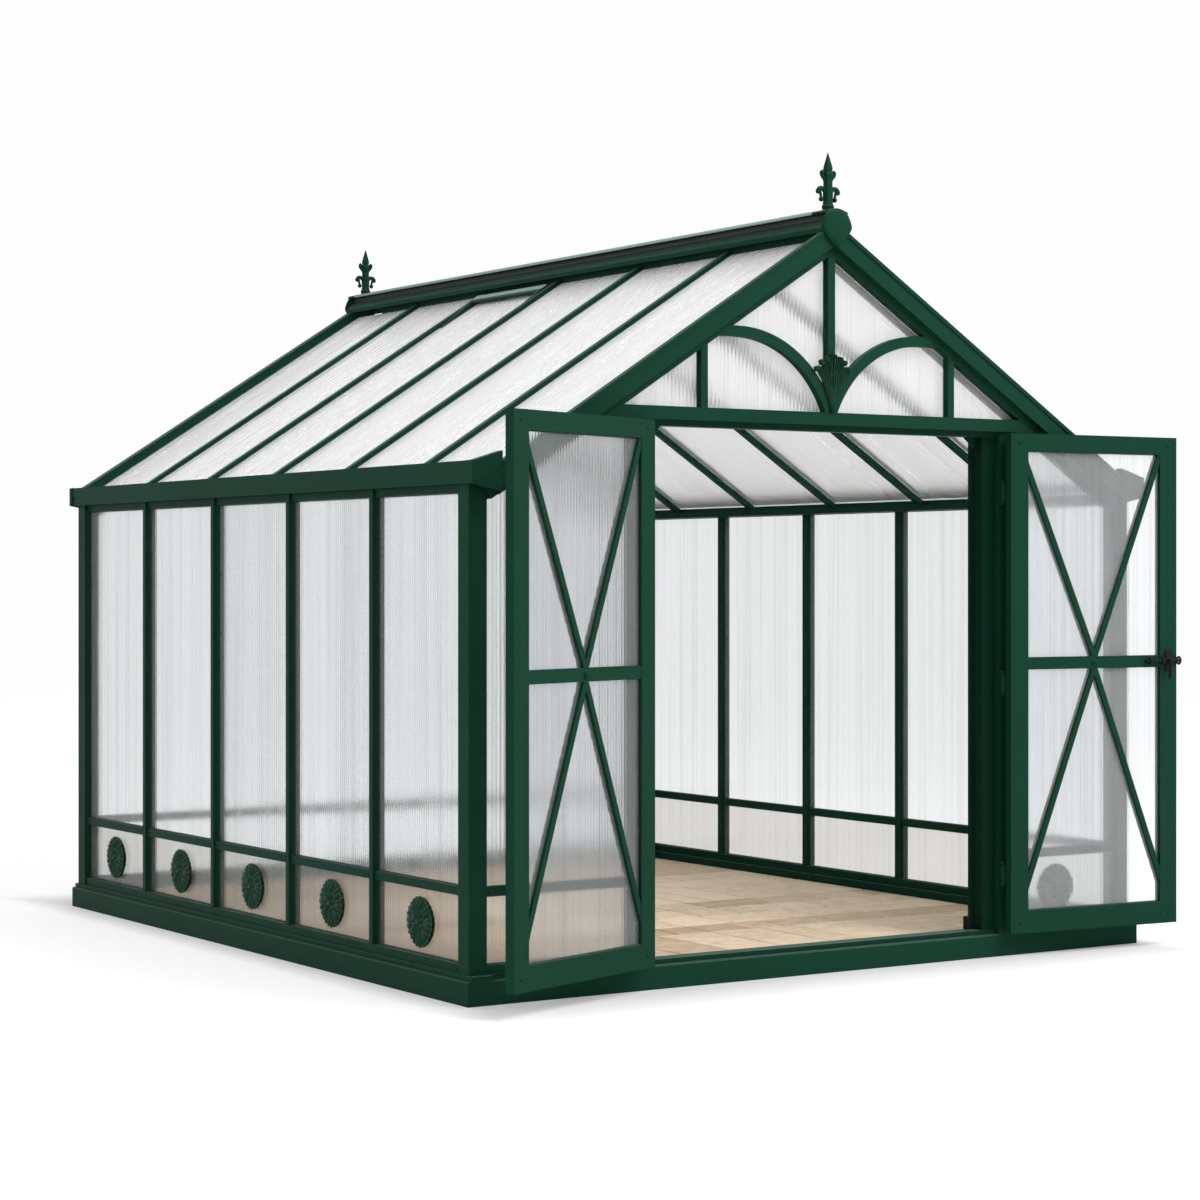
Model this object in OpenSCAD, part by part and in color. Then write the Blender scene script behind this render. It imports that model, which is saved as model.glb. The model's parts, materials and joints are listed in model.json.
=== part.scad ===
// Garden greenhouse with a pitched glazed roof, twin glazed doors and cast ornament.
// Millimetres, +Z up, front towards -Y, origin on the ground at the middle of the base.

/* [Base] */
// outer width of the base frame
base_w = 3000; // [2800:10:3400]
// outer length of the base frame
base_l = 3400; // [3200:10:3800]
// height of the base frame
base_h = 98; // [88:1:110]
// width of a base rail, seen from above
base_t = 100; // [100:1:120]
// depth of the floor below the top of the base
floor_drop = 30; // [10:1:40]

/* [Walls] */
// set-back of the side and back walls from the base edge
side_inset = 20; // [16:1:24]
// set-back of the front wall from the base edge
front_inset = 30; // [28:1:36]
// side of a square corner post
post_s = 70; // [64:1:74]
// face width of a wall mullion
mull_w = 34; // [28:1:42]
// depth of a wall mullion
mull_d = 50; // [46:1:56]
// bays along each side wall
side_bays = 5; // [4:1:6]
// centre height of the middle rail of the walls
mid_z = 372; // [340:1:440]
// height of the middle rail
mid_h = 30; // [24:1:40]
// underside of the gutters
eave_z = 1729; // [1700:1:1760]
// sheet thickness of the wall and roof glazing
sheet_t = 8; // [6:0.5:10]

/* [Roof] */
// pitch of the roof in degrees
roof_pitch = 32.5; // [32:0.1:33]
// rise from the gutter's underside to the roof sheets at its inner edge
eave_rise = 24; // [20:1:30]
// overhang of the roof past the base at the front
over_f = 36; // [30:1:37]
// overhang of the roof past the base at the back
over_b = 200; // [150:5:240]
// face width of a roof glazing bar
bar_w = 30; // [24:1:36]
// bays of sheets along the roof
roof_bays = 6; // [5:1:7]
// height of a barge board, square to the slope
barge_h = 70; // [60:1:76]
// thickness of the front barge boards
barge_ft = 24; // [18:1:26]

/* [Doorway] */
// half of the clear width of the doorway
open_hw = 740; // [730:1:750]
// width of a door jamb
jamb_w = 76; // [72:1:90]
// underside of the beam over the doors
head_z = 1944; // [1930:1:1950]
// height of the beam over the doors
head_h = 66; // [56:1:72]

/* [Doors] */
// thickness of a door leaf
leaf_t = 34; // [28:1:36]
// width of the stiles
stile_w = 80; // [64:1:90]
// height of the top rail
top_rail = 66; // [50:1:80]
// height of the bottom rail
bot_rail = 84; // [70:1:100]
// centre height of the flat bar across the leaf
bar_z = 1097; // [1000:1:1180]
// height of the flat bar across the leaf
bar_h = 46; // [36:1:56]
// width of a diagonal brace
brace_w = 22; // [16:1:28]
// opening angle of the left leaf
left_open = 158.8; // [140:0.2:170]
// opening angle of the right leaf
right_open = 175.5; // [150:0.5:176]

/* [Ornament] */
// diameter of a wall rosette
ros_d = 178; // [150:1:190]
// petals of a rosette
petals = 14; // [10:1:18]
// height of a roof finial
fin_h = 214; // [190:1:230]
// half of the spread of a finial's lower scrolls
fin_w = 62; // [54:1:68]
// diameter of the ridge end disc
disc_d = 124; // [112:1:128]
// height of the acanthus spray
spray_h = 196; // [170:1:210]

/* [Hidden] */
$fn = 48;
seat = 0.3;
green = [0.13, 0.27, 0.2];
cast_green = [0.1, 0.24, 0.17];
clear = [0.86, 0.89, 0.9, 0.6];
tan_floor = [0.76, 0.66, 0.53];
black = [0.05, 0.05, 0.05];

hw = base_w / 2;
yf = -base_l / 2;
yb = base_l / 2;
step_h = base_h - 16;
tp = tan(roof_pitch);
cp = cos(roof_pitch);

// wall planes
sx = hw - side_inset;
fy = yf + front_inset;
by = yb - side_inset;
sill_h = 30;
sill_z = base_h + seat;
sill_top = base_h + sill_h;
floor_z = base_h - floor_drop;
proud = 26;
eave_h = 27;
eave_in = 110;
eave_back = 14;

// gutter
gut_o = hw;
gut_in = hw - 100;
gut_h = 76;
gut_t = 6;
end_in = gut_in - 12;

// roof surfaces, as heights at the middle of the building
sheet_apex = eave_z + eave_rise + tp * gut_in;
sheet_low = sheet_apex - sheet_t / cp;
bar_top = sheet_apex + 20;
bar_bot = sheet_low - 24;
barge_top = sheet_apex + 45;
barge_bot = barge_top - barge_h / cp;
cap_low = barge_top + 0.4;
raf_bot = bar_bot - 34;
ridge_x = 22;

// roof along Y
rf = yf - over_f;
rb = yb + over_b;
barge_bt = 45;
bead = 5;
bead_h = 14;
disc_z = barge_top - 17;
bay0 = yf - 10;
bay1 = rb - 10;
bay = (bay1 - bay0) / roof_bays;

// door leaves: clearances, overlaps and the pins
pin_side = 62;
pin_front = 18;
pin_r = 3.5;
meet_gap = 5;
foot_gap = 6;
head_lap = 14;
ledge_h = head_h - head_lap - 6;
pin_x = open_hw + pin_side;
pin_y = yf - pin_front;
leaf_n0 = 6;
leaf_s0 = 8;
leaf_s1 = pin_x - meet_gap;
leaf_z0 = step_h + foot_gap;
leaf_z1 = head_z + head_lap;
barrel_h = 70;
cover_t = 26;
cover_x = open_hw + jamb_w + 52;
brace_t = (leaf_t - sheet_t) / 2 - 2 - seat;
top_drop = 62;
end_drop = 8;
foot_rise = 104;

// gable tracery
stud_x = 556;
king_w = 32;
stud_w = 28;
arc_x = 408;
arc_z = head_z + head_h - 158;
arc_r = 412;
arc_w = 38;
tr_t = 30;
gab_y = rf + barge_ft + seat;
gab_b = fy + 50;
stop_w = 12;
stop_d = 16;

function zr(x, top) = top - tp * abs(x);
function side_y(k) = fy + post_s / 2 + (by - fy - post_s) * k / side_bays;

module box(a, b) {
  translate(a) cube([b[0] - a[0], b[1] - a[1], b[2] - a[2]]);
}

// a plate whose outline is drawn in X and Z, standing from y0 to y1
module plate(y0, y1) {
  translate([0, y1, 0])
    rotate([90, 0, 0])
      linear_extrude(y1 - y0) children();
}

module both_x() {
  children();
  mirror([1, 0, 0]) children();
}

// ---- base ----
module base_sides() {
  color(green) both_x()
    translate([0, yb, 0]) rotate([90, 0, 0]) linear_extrude(base_l)
      polygon([[hw - base_t, 0], [hw, 0], [hw, step_h - 4], [hw - 4, step_h],
        [hw - 14, step_h], [hw - 14, base_h], [hw - base_t, base_h]]);
}

module base_end_profile(y, s, step) {
  x = hw - base_t - seat;
  translate([-x, 0, 0]) rotate([90, 0, 90]) linear_extrude(2 * x)
    polygon([[y + s * base_t, 0], [y, 0], [y, step_h - 4], [y + s * 4, step_h],
      [y + s * step, step_h], [y + s * step, base_h], [y + s * base_t, base_h]]);
}

module base_ends() {
  color(green) {
    base_end_profile(yf, 1, front_inset);
    base_end_profile(yb, -1, side_inset + 4);
  }
}

module floor_deck() {
  x = hw - base_t - seat;
  color(tan_floor) box([-x, yf + base_t + seat, 0], [x, yb - base_t - seat, floor_z]);
}

// ---- wall frame ----
module corner_posts() {
  color(green) both_x() {
    box([sx - post_s, fy, sill_z], [sx, fy + post_s, eave_z - seat]);
    box([sx - post_s, by - post_s, sill_z], [sx, by, eave_z - seat]);
  }
}

// jambs, with a stop on the room side
module door_jambs() {
  y1 = gab_b + stop_d;
  xi = open_hw - stop_w;
  color(green) both_x() {
    box([open_hw, fy, sill_z], [open_hw + jamb_w, y1, head_z - seat]);
    box([xi, gab_b, sill_z], [open_hw, y1, head_z - seat]);
  }
}

// black keepers that catch the drop bolts at the foot of the stops
module foot_keepers() {
  xi = open_hw - stop_w;
  color(black) both_x()
    difference() {
      box([xi - 18, gab_b, base_h + seat], [xi - seat, gab_b + stop_d + 6, base_h + 48]);
      translate([xi - 9, gab_b + 11, base_h + 20]) cylinder(r = 5, h = 60);
    }
}

// mullion section: a wide base with a narrower nose, standing at the origin
module mull_2d() {
  polygon([[-mull_w / 2, 0], [mull_w / 2, 0], [mull_w / 2, mull_d - proud + 4],
    [mull_w / 2 - 4, mull_d - proud + 8], [mull_w / 2 - 4, mull_d],
    [-mull_w / 2 + 4, mull_d], [-mull_w / 2 + 4, mull_d - proud + 8],
    [-mull_w / 2, mull_d - proud + 4]]);
}

module side_mullions() {
  for (k = [1 : side_bays - 1])
    translate([sx - 4 - mull_d, side_y(k), sill_top + 2 * seat])
      linear_extrude(eave_z - sill_top - 3 * seat)
        rotate(-90) mull_2d();
}

module mullions_right() {
  color(green) side_mullions();
}

module mullions_left() {
  color(green) mirror([1, 0, 0]) side_mullions();
}

back_x = [-(sx - post_s) / 2, 0, (sx - post_s) / 2];

module mullions_back() {
  color(green)
    for (x = back_x)
      translate([x, by - 4 - mull_d, sill_top + 2 * seat])
        linear_extrude(head_z - sill_top - 3 * seat)
          mull_2d();
}

// beams under the gutters, with a tongue between the mullions' heads in each bay
module eave_beams() {
  y0 = fy + post_s + seat;
  y1 = by - post_s - seat;
  x1 = sx - 4 - mull_d - seat;
  color(green) both_x() {
    box([sx - eave_in, y0, eave_z - eave_h], [x1, y1, eave_z - seat]);
    for (k = [0 : side_bays - 1]) {
      a = k == 0 ? y0 : side_y(k) + mull_w / 2 + seat;
      b = k == side_bays - 1 ? y1 : side_y(k + 1) - mull_w / 2 - seat;
      box([x1 - 1, a, eave_z - eave_h], [sx - eave_back, b, eave_z - seat]);
    }
  }
}

// sill and middle rails of one side wall
module side_rails() {
  y0 = fy + post_s + seat;
  y1 = by - post_s - seat;
  x1 = sx - 6;
  x0 = sx - 4 - mull_d;
  box([x0, y0, sill_z], [x1, y1, sill_top + seat]);
  for (k = [0 : side_bays - 1]) {
    a = k == 0 ? y0 : side_y(k) + mull_w / 2 + seat;
    b = k == side_bays - 1 ? y1 : side_y(k + 1) - mull_w / 2 - seat;
    box([x0 + 8, a, mid_z - mid_h / 2], [sx - 12, b, mid_z + mid_h / 2]);
  }
}

module rails_right() {
  color(green) side_rails();
}

module rails_left() {
  color(green) mirror([1, 0, 0]) side_rails();
}

module rails_back() {
  xe = sx - post_s - seat;
  y1 = by - 6;
  y0 = by - 4 - mull_d;
  xs = concat([-xe - mull_w / 2 - seat], back_x, [xe + mull_w / 2 + seat]);
  color(green) {
    box([-xe, y0, sill_z], [xe, y1, sill_top + seat]);
    for (k = [0 : 3])
      box([xs[k] + mull_w / 2 + seat, y0 + 8, mid_z - mid_h / 2],
        [xs[k + 1] - mull_w / 2 - seat, by - 12, mid_z + mid_h / 2]);
  }
}

module rails_front() {
  x0 = open_hw + jamb_w + seat;
  x1 = sx - post_s - seat;
  color(green) both_x() {
    box([x0, fy + 4, sill_z], [x1, fy + 54, sill_top + seat]);
    box([x0, fy + 12, mid_z - mid_h / 2], [x1, fy + 46, mid_z + mid_h / 2]);
  }
}

// ---- eaves ----
module gutters() {
  z0 = eave_z;
  color(green) both_x() {
    translate([0, yb, 0]) rotate([90, 0, 0]) linear_extrude(base_l)
      polygon([[gut_in, z0], [gut_o - 3, z0], [gut_o - 3, z0 + 34], [gut_o, z0 + 38],
        [gut_o, z0 + gut_h], [gut_o - gut_t - 4, z0 + gut_h],
        [gut_o - gut_t - 4, z0 + gut_t], [gut_in + gut_t, z0 + gut_t],
        [gut_in + gut_t, z0 + 14], [gut_in, z0 + 14]]);
  }
}

module gutter_ends() {
  a = end_in;
  color(green) both_x() {
    plate(rf, yf - seat)
      polygon([[a, eave_z - 26], [gut_o + 4, eave_z], [gut_o + 4, eave_z + gut_h],
        [gut_o - 8, eave_z + gut_h + 2], [a, eave_z + gut_h + 34]]);
    plate(yb + seat, yb + 22)
      polygon([[gut_in, eave_z - 20], [gut_o + 4, eave_z], [gut_o + 4, eave_z + gut_h],
        [gut_o - 8, eave_z + gut_h + 2], [gut_in, eave_z + 40]]);
  }
}

// ---- gables ----
// where the underside of the rafters crosses height z
function raf_x(z) = (raf_bot - z) / tp - 0.5;

// beam over the doors, with a ledge for the gable glazing and corner gussets
module tie_beam_front() {
  z0 = head_z;
  z1 = head_z + head_h;
  zl = z1 - ledge_h;
  color(green) {
    plate(fy, gab_b)
      polygon([[-raf_x(z0), z0], [raf_x(z0), z0], [raf_x(z1), z1], [-raf_x(z1), z1]]);
    plate(gab_y, fy + 1)
      polygon([[-raf_x(zl), zl], [raf_x(zl), zl], [raf_x(z1), z1], [-raf_x(z1), z1]]);
    both_x() plate(gab_b - 10, gab_b - 4)
      polygon([[open_hw - seat, z0 + 1], [open_hw - 52, z0 + 1], [open_hw - 52, z0 - 2],
        [open_hw - seat - 2, z0 - 42], [open_hw - seat, z0 - 42]]);
  }
}

module tie_beam_back() {
  z0 = head_z;
  z1 = head_z + 40;
  x0 = (raf_bot - z0) / tp - 0.5;
  x1 = (raf_bot - z1) / tp - 0.5;
  color(green) plate(by - 4 - mull_d, by - 4)
    polygon([[-x0, z0], [x0, z0], [x1, z1], [-x1, z1]]);
}

module rafters_2d() {
  x = sx - post_s - seat;
  xg = gut_in - seat;
  zt = sheet_low - 0.4;
  zs = min(eave_z - seat, zr(x, zt));
  polygon([[-x, zr(x, raf_bot)], [0, raf_bot], [x, zr(x, raf_bot)], [x, zs], [xg, zs],
    [xg, zr(xg, zt)], [0, zt], [-xg, zr(xg, zt)], [-xg, zs], [-x, zs]]);
}

// outline of a sloping board pair that ends clear of the gutter ends
module slope_2d(low, high) {
  x = end_in - seat;
  polygon([[-x, zr(x, low)], [0, low], [x, zr(x, low)], [x, zr(x, high)], [0, high],
    [-x, zr(x, high)]]);
}

// the front pair has an upstand that closes the ends of the roof sheets
module rafters_front() {
  color(green) {
    plate(yf - seat, gab_b) rafters_2d();
    plate(gab_y, yf - seat) slope_2d(raf_bot, sheet_apex);
  }
}

module rafters_back() {
  color(green) plate(by - 4 - mull_d, by - 4) rafters_2d();
}

// king post, studs and quarter arcs, cast as one piece
module gable_tracery() {
  z0 = head_z + head_h + seat;
  zk = raf_bot;
  color(green) plate(gab_y, gab_y + tr_t) {
    difference() {
      union() {
        translate([-king_w / 2, z0]) square([king_w, zk - z0]);
        for (s = [-1, 1]) {
          translate([s * stud_x - stud_w / 2, z0]) square([stud_w, 400]);
          intersection() {
            translate([s * arc_x, arc_z]) difference() {
              circle(arc_r + arc_w, $fn = 96);
              circle(arc_r, $fn = 96);
            }
            translate([s > 0 ? 0 : -arc_x, z0]) square([arc_x, 420]);
          }
          translate([s > 0 ? arc_x - 1 : -stud_x, arc_z + arc_r + 0.6])
            square([stud_x - arc_x + 1, arc_w - 0.8]);
        }
      }
      // trimmed under the rafters
      for (s = [-1, 1])
        polygon([[0, raf_bot - 0.4], [s * 1400, zr(1400, raf_bot - 0.4)],
          [s * 1400, raf_bot + 400], [0, raf_bot + 400]]);
    }
  }
}

module studs_back() {
  z0 = head_z + 40 + seat;
  color(green) plate(by - 4 - mull_d + 8, by - 8)
    for (x = [-560, 0, 560])
      polygon([[x - 15, z0], [x + 15, z0],
        [x + 15, min(zr(x + 15, raf_bot), zr(x - 15, raf_bot)) - 0.4],
        [x - 15, min(zr(x + 15, raf_bot), zr(x - 15, raf_bot)) - 0.4]]);
}

// ribbon of changing width along a list of points
function unit(v) = v / sqrt(v[0] * v[0] + v[1] * v[1]);
function side_of(p, i) =
  let (d = unit(p[min(i + 1, len(p) - 1)] - p[max(i - 1, 0)])) [-d[1], d[0]];
module ribbon(p, w) {
  n = len(p) - 1;
  polygon(concat([for (i = [0 : n]) p[i] + side_of(p, i) * w[i] / 2],
    [for (i = [n : -1 : 0]) p[i] - side_of(p, i) * w[i] / 2]));
}
// points on an arc whose radius runs from r0 to r1
function turn(c, r0, r1, a0, a1, n) = [for (i = [0 : n])
  c + (r0 + (r1 - r0) * i / n) * [cos(a0 + (a1 - a0) * i / n), sin(a0 + (a1 - a0) * i / n)]];

// acanthus spray at the foot of the king post: each leaf leans out by angle a and
// bends on by b, swells towards its tip and ends in a rolled-over lobe
function leaf_path(len, a, b, n) = [for (i = [0 : n])
  len * i / n * [sin(a + b * i / n), cos(a + b * i / n)]];
function leaf_widths(w, n) = [for (i = [0 : n])
  w * (0.38 + 0.62 * pow(sin(165 * i / n), 0.8))];

module spray_leaf(len, a, b, w, h) {
  n = 8;
  p = leaf_path(len, a, b, n);
  plate(gab_y - h, gab_y - seat) ribbon(p, leaf_widths(w, n));
  // midrib
  plate(gab_y - h - 3, gab_y - h + 0.5) ribbon(p, [for (i = [0 : n]) 5 - 3 * i / n]);
  translate([p[n][0], gab_y - h + 2, p[n][1]]) sphere(w * 0.34, $fn = 24);
}

module leaf_ornament() {
  z0 = head_z + head_h + seat;
  color(cast_green) intersection() {
    translate([0, 0, z0]) {
      spray_leaf(spray_h, 0, 0, 34, 19);
      for (s = [-1, 1]) {
        spray_leaf(spray_h * 0.93, s * 6, s * 5, 26, 15);
        spray_leaf(spray_h * 0.86, s * 10, s * 10, 24, 12);
        spray_leaf(spray_h * 0.78, s * 14, s * 16, 22, 9);
      }
      plate(gab_y - 24, gab_y - seat)
        polygon([[-20, 0], [20, 0], [17, 10], [13, 22], [9, 42], [-9, 42], [-13, 22],
          [-17, 10]]);
    }
    box([-200, gab_y - 60, z0], [200, gab_y - seat, z0 + 400]);
  }
}

// ---- roof ----
module ridge_beam() {
  color(green)
    box([-ridge_x, gab_b + seat, raf_bot - 0.46],
      [ridge_x, by - 4 - mull_d - seat, cap_low - 14.5]);
}

function bar_y(k) = bay0 + bay * k;

module bars_one() {
  xe = gut_in - seat;
  xi = ridge_x + seat;
  for (k = [1 : roof_bays - 1])
    plate(bar_y(k) - bar_w / 2, bar_y(k) + bar_w / 2)
      polygon([[xi, zr(xi, bar_bot)], [xi, zr(xi, bar_top)], [xe, zr(xe, bar_top)],
        [xe, eave_z + seat], [(bar_bot - eave_z - seat) / tp, eave_z + seat]]);
}

module roof_bars_right() {
  color(green) bars_one();
}

module roof_bars_left() {
  color(green) mirror([1, 0, 0]) bars_one();
}

// barge boards with a raised bead along the upper edge, cleared round the disc
module barge_pair(y0, y1, out) {
  plate(y0, y1) slope_2d(barge_bot, barge_top);
  plate(out < 0 ? y0 - bead : y1 - 1, out < 0 ? y0 + 1 : y1 + bead)
    difference() {
      slope_2d(barge_top - bead_h / cp, barge_top);
      translate([0, disc_z]) circle(disc_d / 2 + 1, $fn = 64);
    }
}

module barge_front() {
  color(green) barge_pair(rf, rf + barge_ft, -1);
}

module barge_back() {
  color(green) barge_pair(rb - barge_bt, rb, 1);
}

// ridge capping: flanges on the barge boards and bars, a narrow web and a top plate that
// overhangs it
module ridge_cap() {
  z = cap_low;
  color(green) plate(rf, rb)
    polygon([[0, z], [62, zr(62, z)], [62, zr(62, z) + 17], [56, zr(56, z) + 20],
      [27, z + 7], [25, z + 9], [25, z + 32], [52, z + 30], [55, z + 33], [55, z + 36],
      [46, z + 42], [-46, z + 42], [-55, z + 36], [-55, z + 33], [-52, z + 30],
      [-25, z + 32], [-25, z + 9], [-27, z + 7], [-56, zr(56, z) + 20],
      [-62, zr(62, z) + 17], [-62, zr(62, z)]]);
}

module disc_2d() {
  r = disc_d / 2;
  circle(r, $fn = 64);
  polygon([[-r * 0.62, -r * 0.7], [0, -r * 1.14], [r * 0.62, -r * 0.7], [0, 0]]);
}

module ridge_ends() {
  color(cast_green) {
    plate(rf - 18, rf - seat) translate([0, disc_z]) disc_2d();
    plate(rb + seat, rb + 18) translate([0, disc_z]) disc_2d();
  }
}

// ---- finials ----
// turned stem and spear with two pairs of flat cast scrolls
module finial() {
  h = fin_h;
  w = fin_w;
  rotate_extrude($fn = 40)
    polygon([[0, 5], [20, 5], [21, 9], [19, 13], [15, 16], [19, 20], [19, 25], [14, 29],
      [14, h * 0.3], [16, h * 0.34], [14, h * 0.38], [13, h * 0.5], [11, h * 0.6],
      [13, h * 0.66], [14, h * 0.7], [12, h * 0.78], [2, h * 0.985], [0, h]]);
  translate([-26, -26, 0]) cube([52, 52, 5.5]);
  for (s = [0, 1]) mirror([s, 0, 0]) {
    // lower scroll: an arch that rolls outwards over a hanging lobe
    plate(-7, 7) {
      ribbon(turn([w * 0.6, h * 0.34], w * 0.42, w * 0.3, 200, -30, 14),
        [for (i = [0 : 14]) 9 + 6 * sin(180 * i / 14)]);
      ribbon([[8, h * 0.3], [w * 0.28, h * 0.31], [w * 0.44, h * 0.28], [w * 0.54, h * 0.24]],
        [12, 9, 8, 8]);
    }
    translate([w * 0.84, 0, h * 0.31]) sphere(8, $fn = 24);
    translate([w * 0.55, 0, h * 0.235]) sphere(8.5, $fn = 24);
    // upper scroll
    plate(-6, 6)
      ribbon([[6, h * 0.56], [w * 0.22, h * 0.6], [w * 0.34, h * 0.645], [w * 0.42, h * 0.68]],
        [14, 11, 9, 8]);
    translate([w * 0.46, 0, h * 0.685]) sphere(9.5, $fn = 24);
  }
}

module finials() {
  z = cap_low + 42 + seat;
  color(cast_green) {
    translate([0, gab_y + 22, z]) finial();
    translate([0, rb - 72, z]) finial();
  }
}

// ---- rosettes ----
// one rosette, its back at the origin, facing +Z: a dished and domed disc cut into
// petals by notches round the rim and grooves towards the boss
module rosette() {
  r = ros_d / 2;
  n = petals;
  cylinder(r = 10, h = 9);
  difference() {
    translate([0, 0, 8]) rotate_extrude($fn = 72)
      polygon([[0, 0], [r * 0.97, 0], [r, 3], [r * 0.95, 7], [r * 0.8, 12], [r * 0.62, 14],
        [r * 0.44, 12], [r * 0.33, 9], [r * 0.3, 14], [r * 0.24, 18], [r * 0.12, 21],
        [0, 22]]);
    for (k = [0 : n - 1]) rotate((k + 0.5) * 360 / n) {
      translate([r * 1.04, 0, 0]) cylinder(r = r * 0.1, h = 40, $fn = 16);
      translate([r * 0.42, 0, 24]) rotate([0, 90, 0]) cylinder(r = 5, h = r, $fn = 16);
    }
  }
}

ros_z = (sill_top + mid_z - mid_h / 2) / 2 - 3;
pane_x = sx - proud - 4;

module side_rosettes() {
  for (k = [0 : side_bays - 1])
    translate([pane_x + seat, (side_y(k) + side_y(k + 1)) / 2, ros_z])
      rotate([0, 90, 0]) rosette();
}

module rosettes_left() {
  color(cast_green) mirror([1, 0, 0]) side_rosettes();
}

module rosettes_front() {
  color(cast_green)
    translate([(open_hw + jamb_w + sx - post_s) / 2, fy + 20 - seat, ros_z])
      rotate([90, 0, 0]) rosette();
}

// ---- glazing ----
module side_panels() {
  x1 = pane_x;
  x0 = pane_x - sheet_t;
  e = seat;
  for (k = [0 : side_bays - 1]) {
    a = k == 0 ? fy + post_s + e : side_y(k) + mull_w / 2 + e;
    b = k == side_bays - 1 ? by - post_s - e : side_y(k + 1) - mull_w / 2 - e;
    box([x0, a, sill_top + e], [x1, b, mid_z - mid_h / 2 - e]);
    box([x0, a, mid_z + mid_h / 2 + e], [x1, b, eave_z - eave_h - e]);
  }
}

module panels_right() {
  color(clear) side_panels();
}

module panels_left() {
  color(clear) mirror([1, 0, 0]) side_panels();
}

module panels_back() {
  e = seat;
  y1 = by - proud - 4;
  xe = sx - post_s - e;
  xs = concat([-xe - mull_w / 2 - e], back_x, [xe + mull_w / 2 + e]);
  color(clear) plate(y1 - sheet_t, y1)
    for (k = [0 : 3]) {
      a = xs[k] + mull_w / 2 + e;
      b = xs[k + 1] - mull_w / 2 - e;
      polygon([[a, sill_top + e], [b, sill_top + e], [b, mid_z - mid_h / 2 - e],
        [a, mid_z - mid_h / 2 - e]]);
      intersection() {
        polygon([[a, mid_z + mid_h / 2 + e], [b, mid_z + mid_h / 2 + e],
          [b, head_z - e], [a, head_z - e]]);
        polygon([[-hw, 0], [hw, 0], [hw, zr(hw, raf_bot - 0.4)], [0, raf_bot - 0.4],
          [-hw, zr(hw, raf_bot - 0.4)]]);
      }
    }
}

module panels_front() {
  e = seat;
  a = open_hw + jamb_w + e;
  b = sx - post_s - e;
  y0 = fy + 20;
  zt = zr(a, raf_bot - 0.4);
  z_up = min(head_z - e, zt);
  x_up = (raf_bot - 0.4 - z_up) / tp;
  color(clear) both_x() plate(y0, y0 + sheet_t) {
    polygon([[a, sill_top + e], [b, sill_top + e], [b, mid_z - mid_h / 2 - e],
      [a, mid_z - mid_h / 2 - e]]);
    polygon([[a, mid_z + mid_h / 2 + e], [b, mid_z + mid_h / 2 + e],
      [b, zr(b, raf_bot - 0.4)], [x_up, z_up], [a, z_up]]);
  }
}

module gable_pane_2d(z0) {
  x0 = (raf_bot - 0.4 - z0) / tp;
  polygon([[-x0, z0], [x0, z0], [0, raf_bot - 0.4]]);
}

module gable_panel_front() {
  color(clear) plate(gab_y + tr_t + seat, gab_y + tr_t + seat + sheet_t)
    gable_pane_2d(head_z + head_h + seat);
}

module gable_panel_back() {
  color(clear) difference() {
    plate(by - 8 - sheet_t - 14, by - 8 - 14) gable_pane_2d(head_z + 40 + seat);
    for (x = [-560, 0, 560])
      box([x - 15 - seat, by - 60, head_z], [x + 15 + seat, by, raf_bot + 40]);
  }
}

module roof_sheets() {
  xi = ridge_x + seat;
  xe = gut_in - seat;
  for (k = [0 : roof_bays - 1]) {
    a = k == 0 ? yf : bar_y(k) + bar_w / 2 + seat;
    b = k == roof_bays - 1 ? rb - barge_bt - seat : bar_y(k + 1) - bar_w / 2 - seat;
    plate(a, b)
      polygon([[xi, zr(xi, sheet_low)], [xi, zr(xi, sheet_apex)],
        [xe, zr(xe, sheet_apex)], [xe, zr(xe, sheet_low)]]);
  }
}

module roof_panels_right() {
  color(clear) roof_sheets();
}

module roof_panels_left() {
  color(clear) mirror([1, 0, 0]) roof_sheets();
}

// fixed vent hood just under the ridge, on the left slope in the third bay from the back:
// a raised rail with a cheek at each end that runs down to the sheet
module roof_vent() {
  a = bar_y(roof_bays - 3) + bar_w / 2 + 3;
  b = bar_y(roof_bays - 2) - bar_w / 2 - 3;
  lift = sheet_apex + 0.4;
  x0 = 68;
  x1 = x0 + 44;
  x2 = x0 + 190;
  up = 26;
  color(green) mirror([1, 0, 0]) {
    plate(a, b)
      polygon([[x0, zr(x0, lift)], [x0, zr(x0, lift) + up], [x1, zr(x1, lift) + up],
        [x1, zr(x1, lift) + up - 9], [x0 + 10, zr(x0 + 10, lift) + up - 12],
        [x0 + 10, zr(x0 + 10, lift)]]);
    for (y = [a, b - 16])
      plate(y, y + 16)
        polygon([[x0, zr(x0, lift)], [x0, zr(x0, lift) + up], [x1, zr(x1, lift) + up],
          [x2, zr(x2, lift) + 3], [x2, zr(x2, lift)]]);
  }
}

// ---- doors ----
// leaf frame in its own axes: hinge pin at the origin, closed leaf along +X, room side +Y
module leaf_at(side, angle) {
  if (side < 0)
    translate([-pin_x, pin_y, 0]) rotate([0, 0, -angle]) children();
  else
    mirror([1, 0, 0]) translate([-pin_x, pin_y, 0]) rotate([0, 0, -angle]) children();
}

module leaf_frame() {
  difference() {
    plate(leaf_n0, leaf_n0 + leaf_t)
      difference() {
        polygon([[leaf_s0, leaf_z0], [leaf_s1, leaf_z0], [leaf_s1, leaf_z1],
          [leaf_s0, leaf_z1]]);
        polygon([[leaf_s0 + stile_w, leaf_z0 + bot_rail],
          [leaf_s1 - stile_w, leaf_z0 + bot_rail],
          [leaf_s1 - stile_w, leaf_z1 - top_rail],
          [leaf_s0 + stile_w, leaf_z1 - top_rail]]);
      }
  }
}

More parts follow.
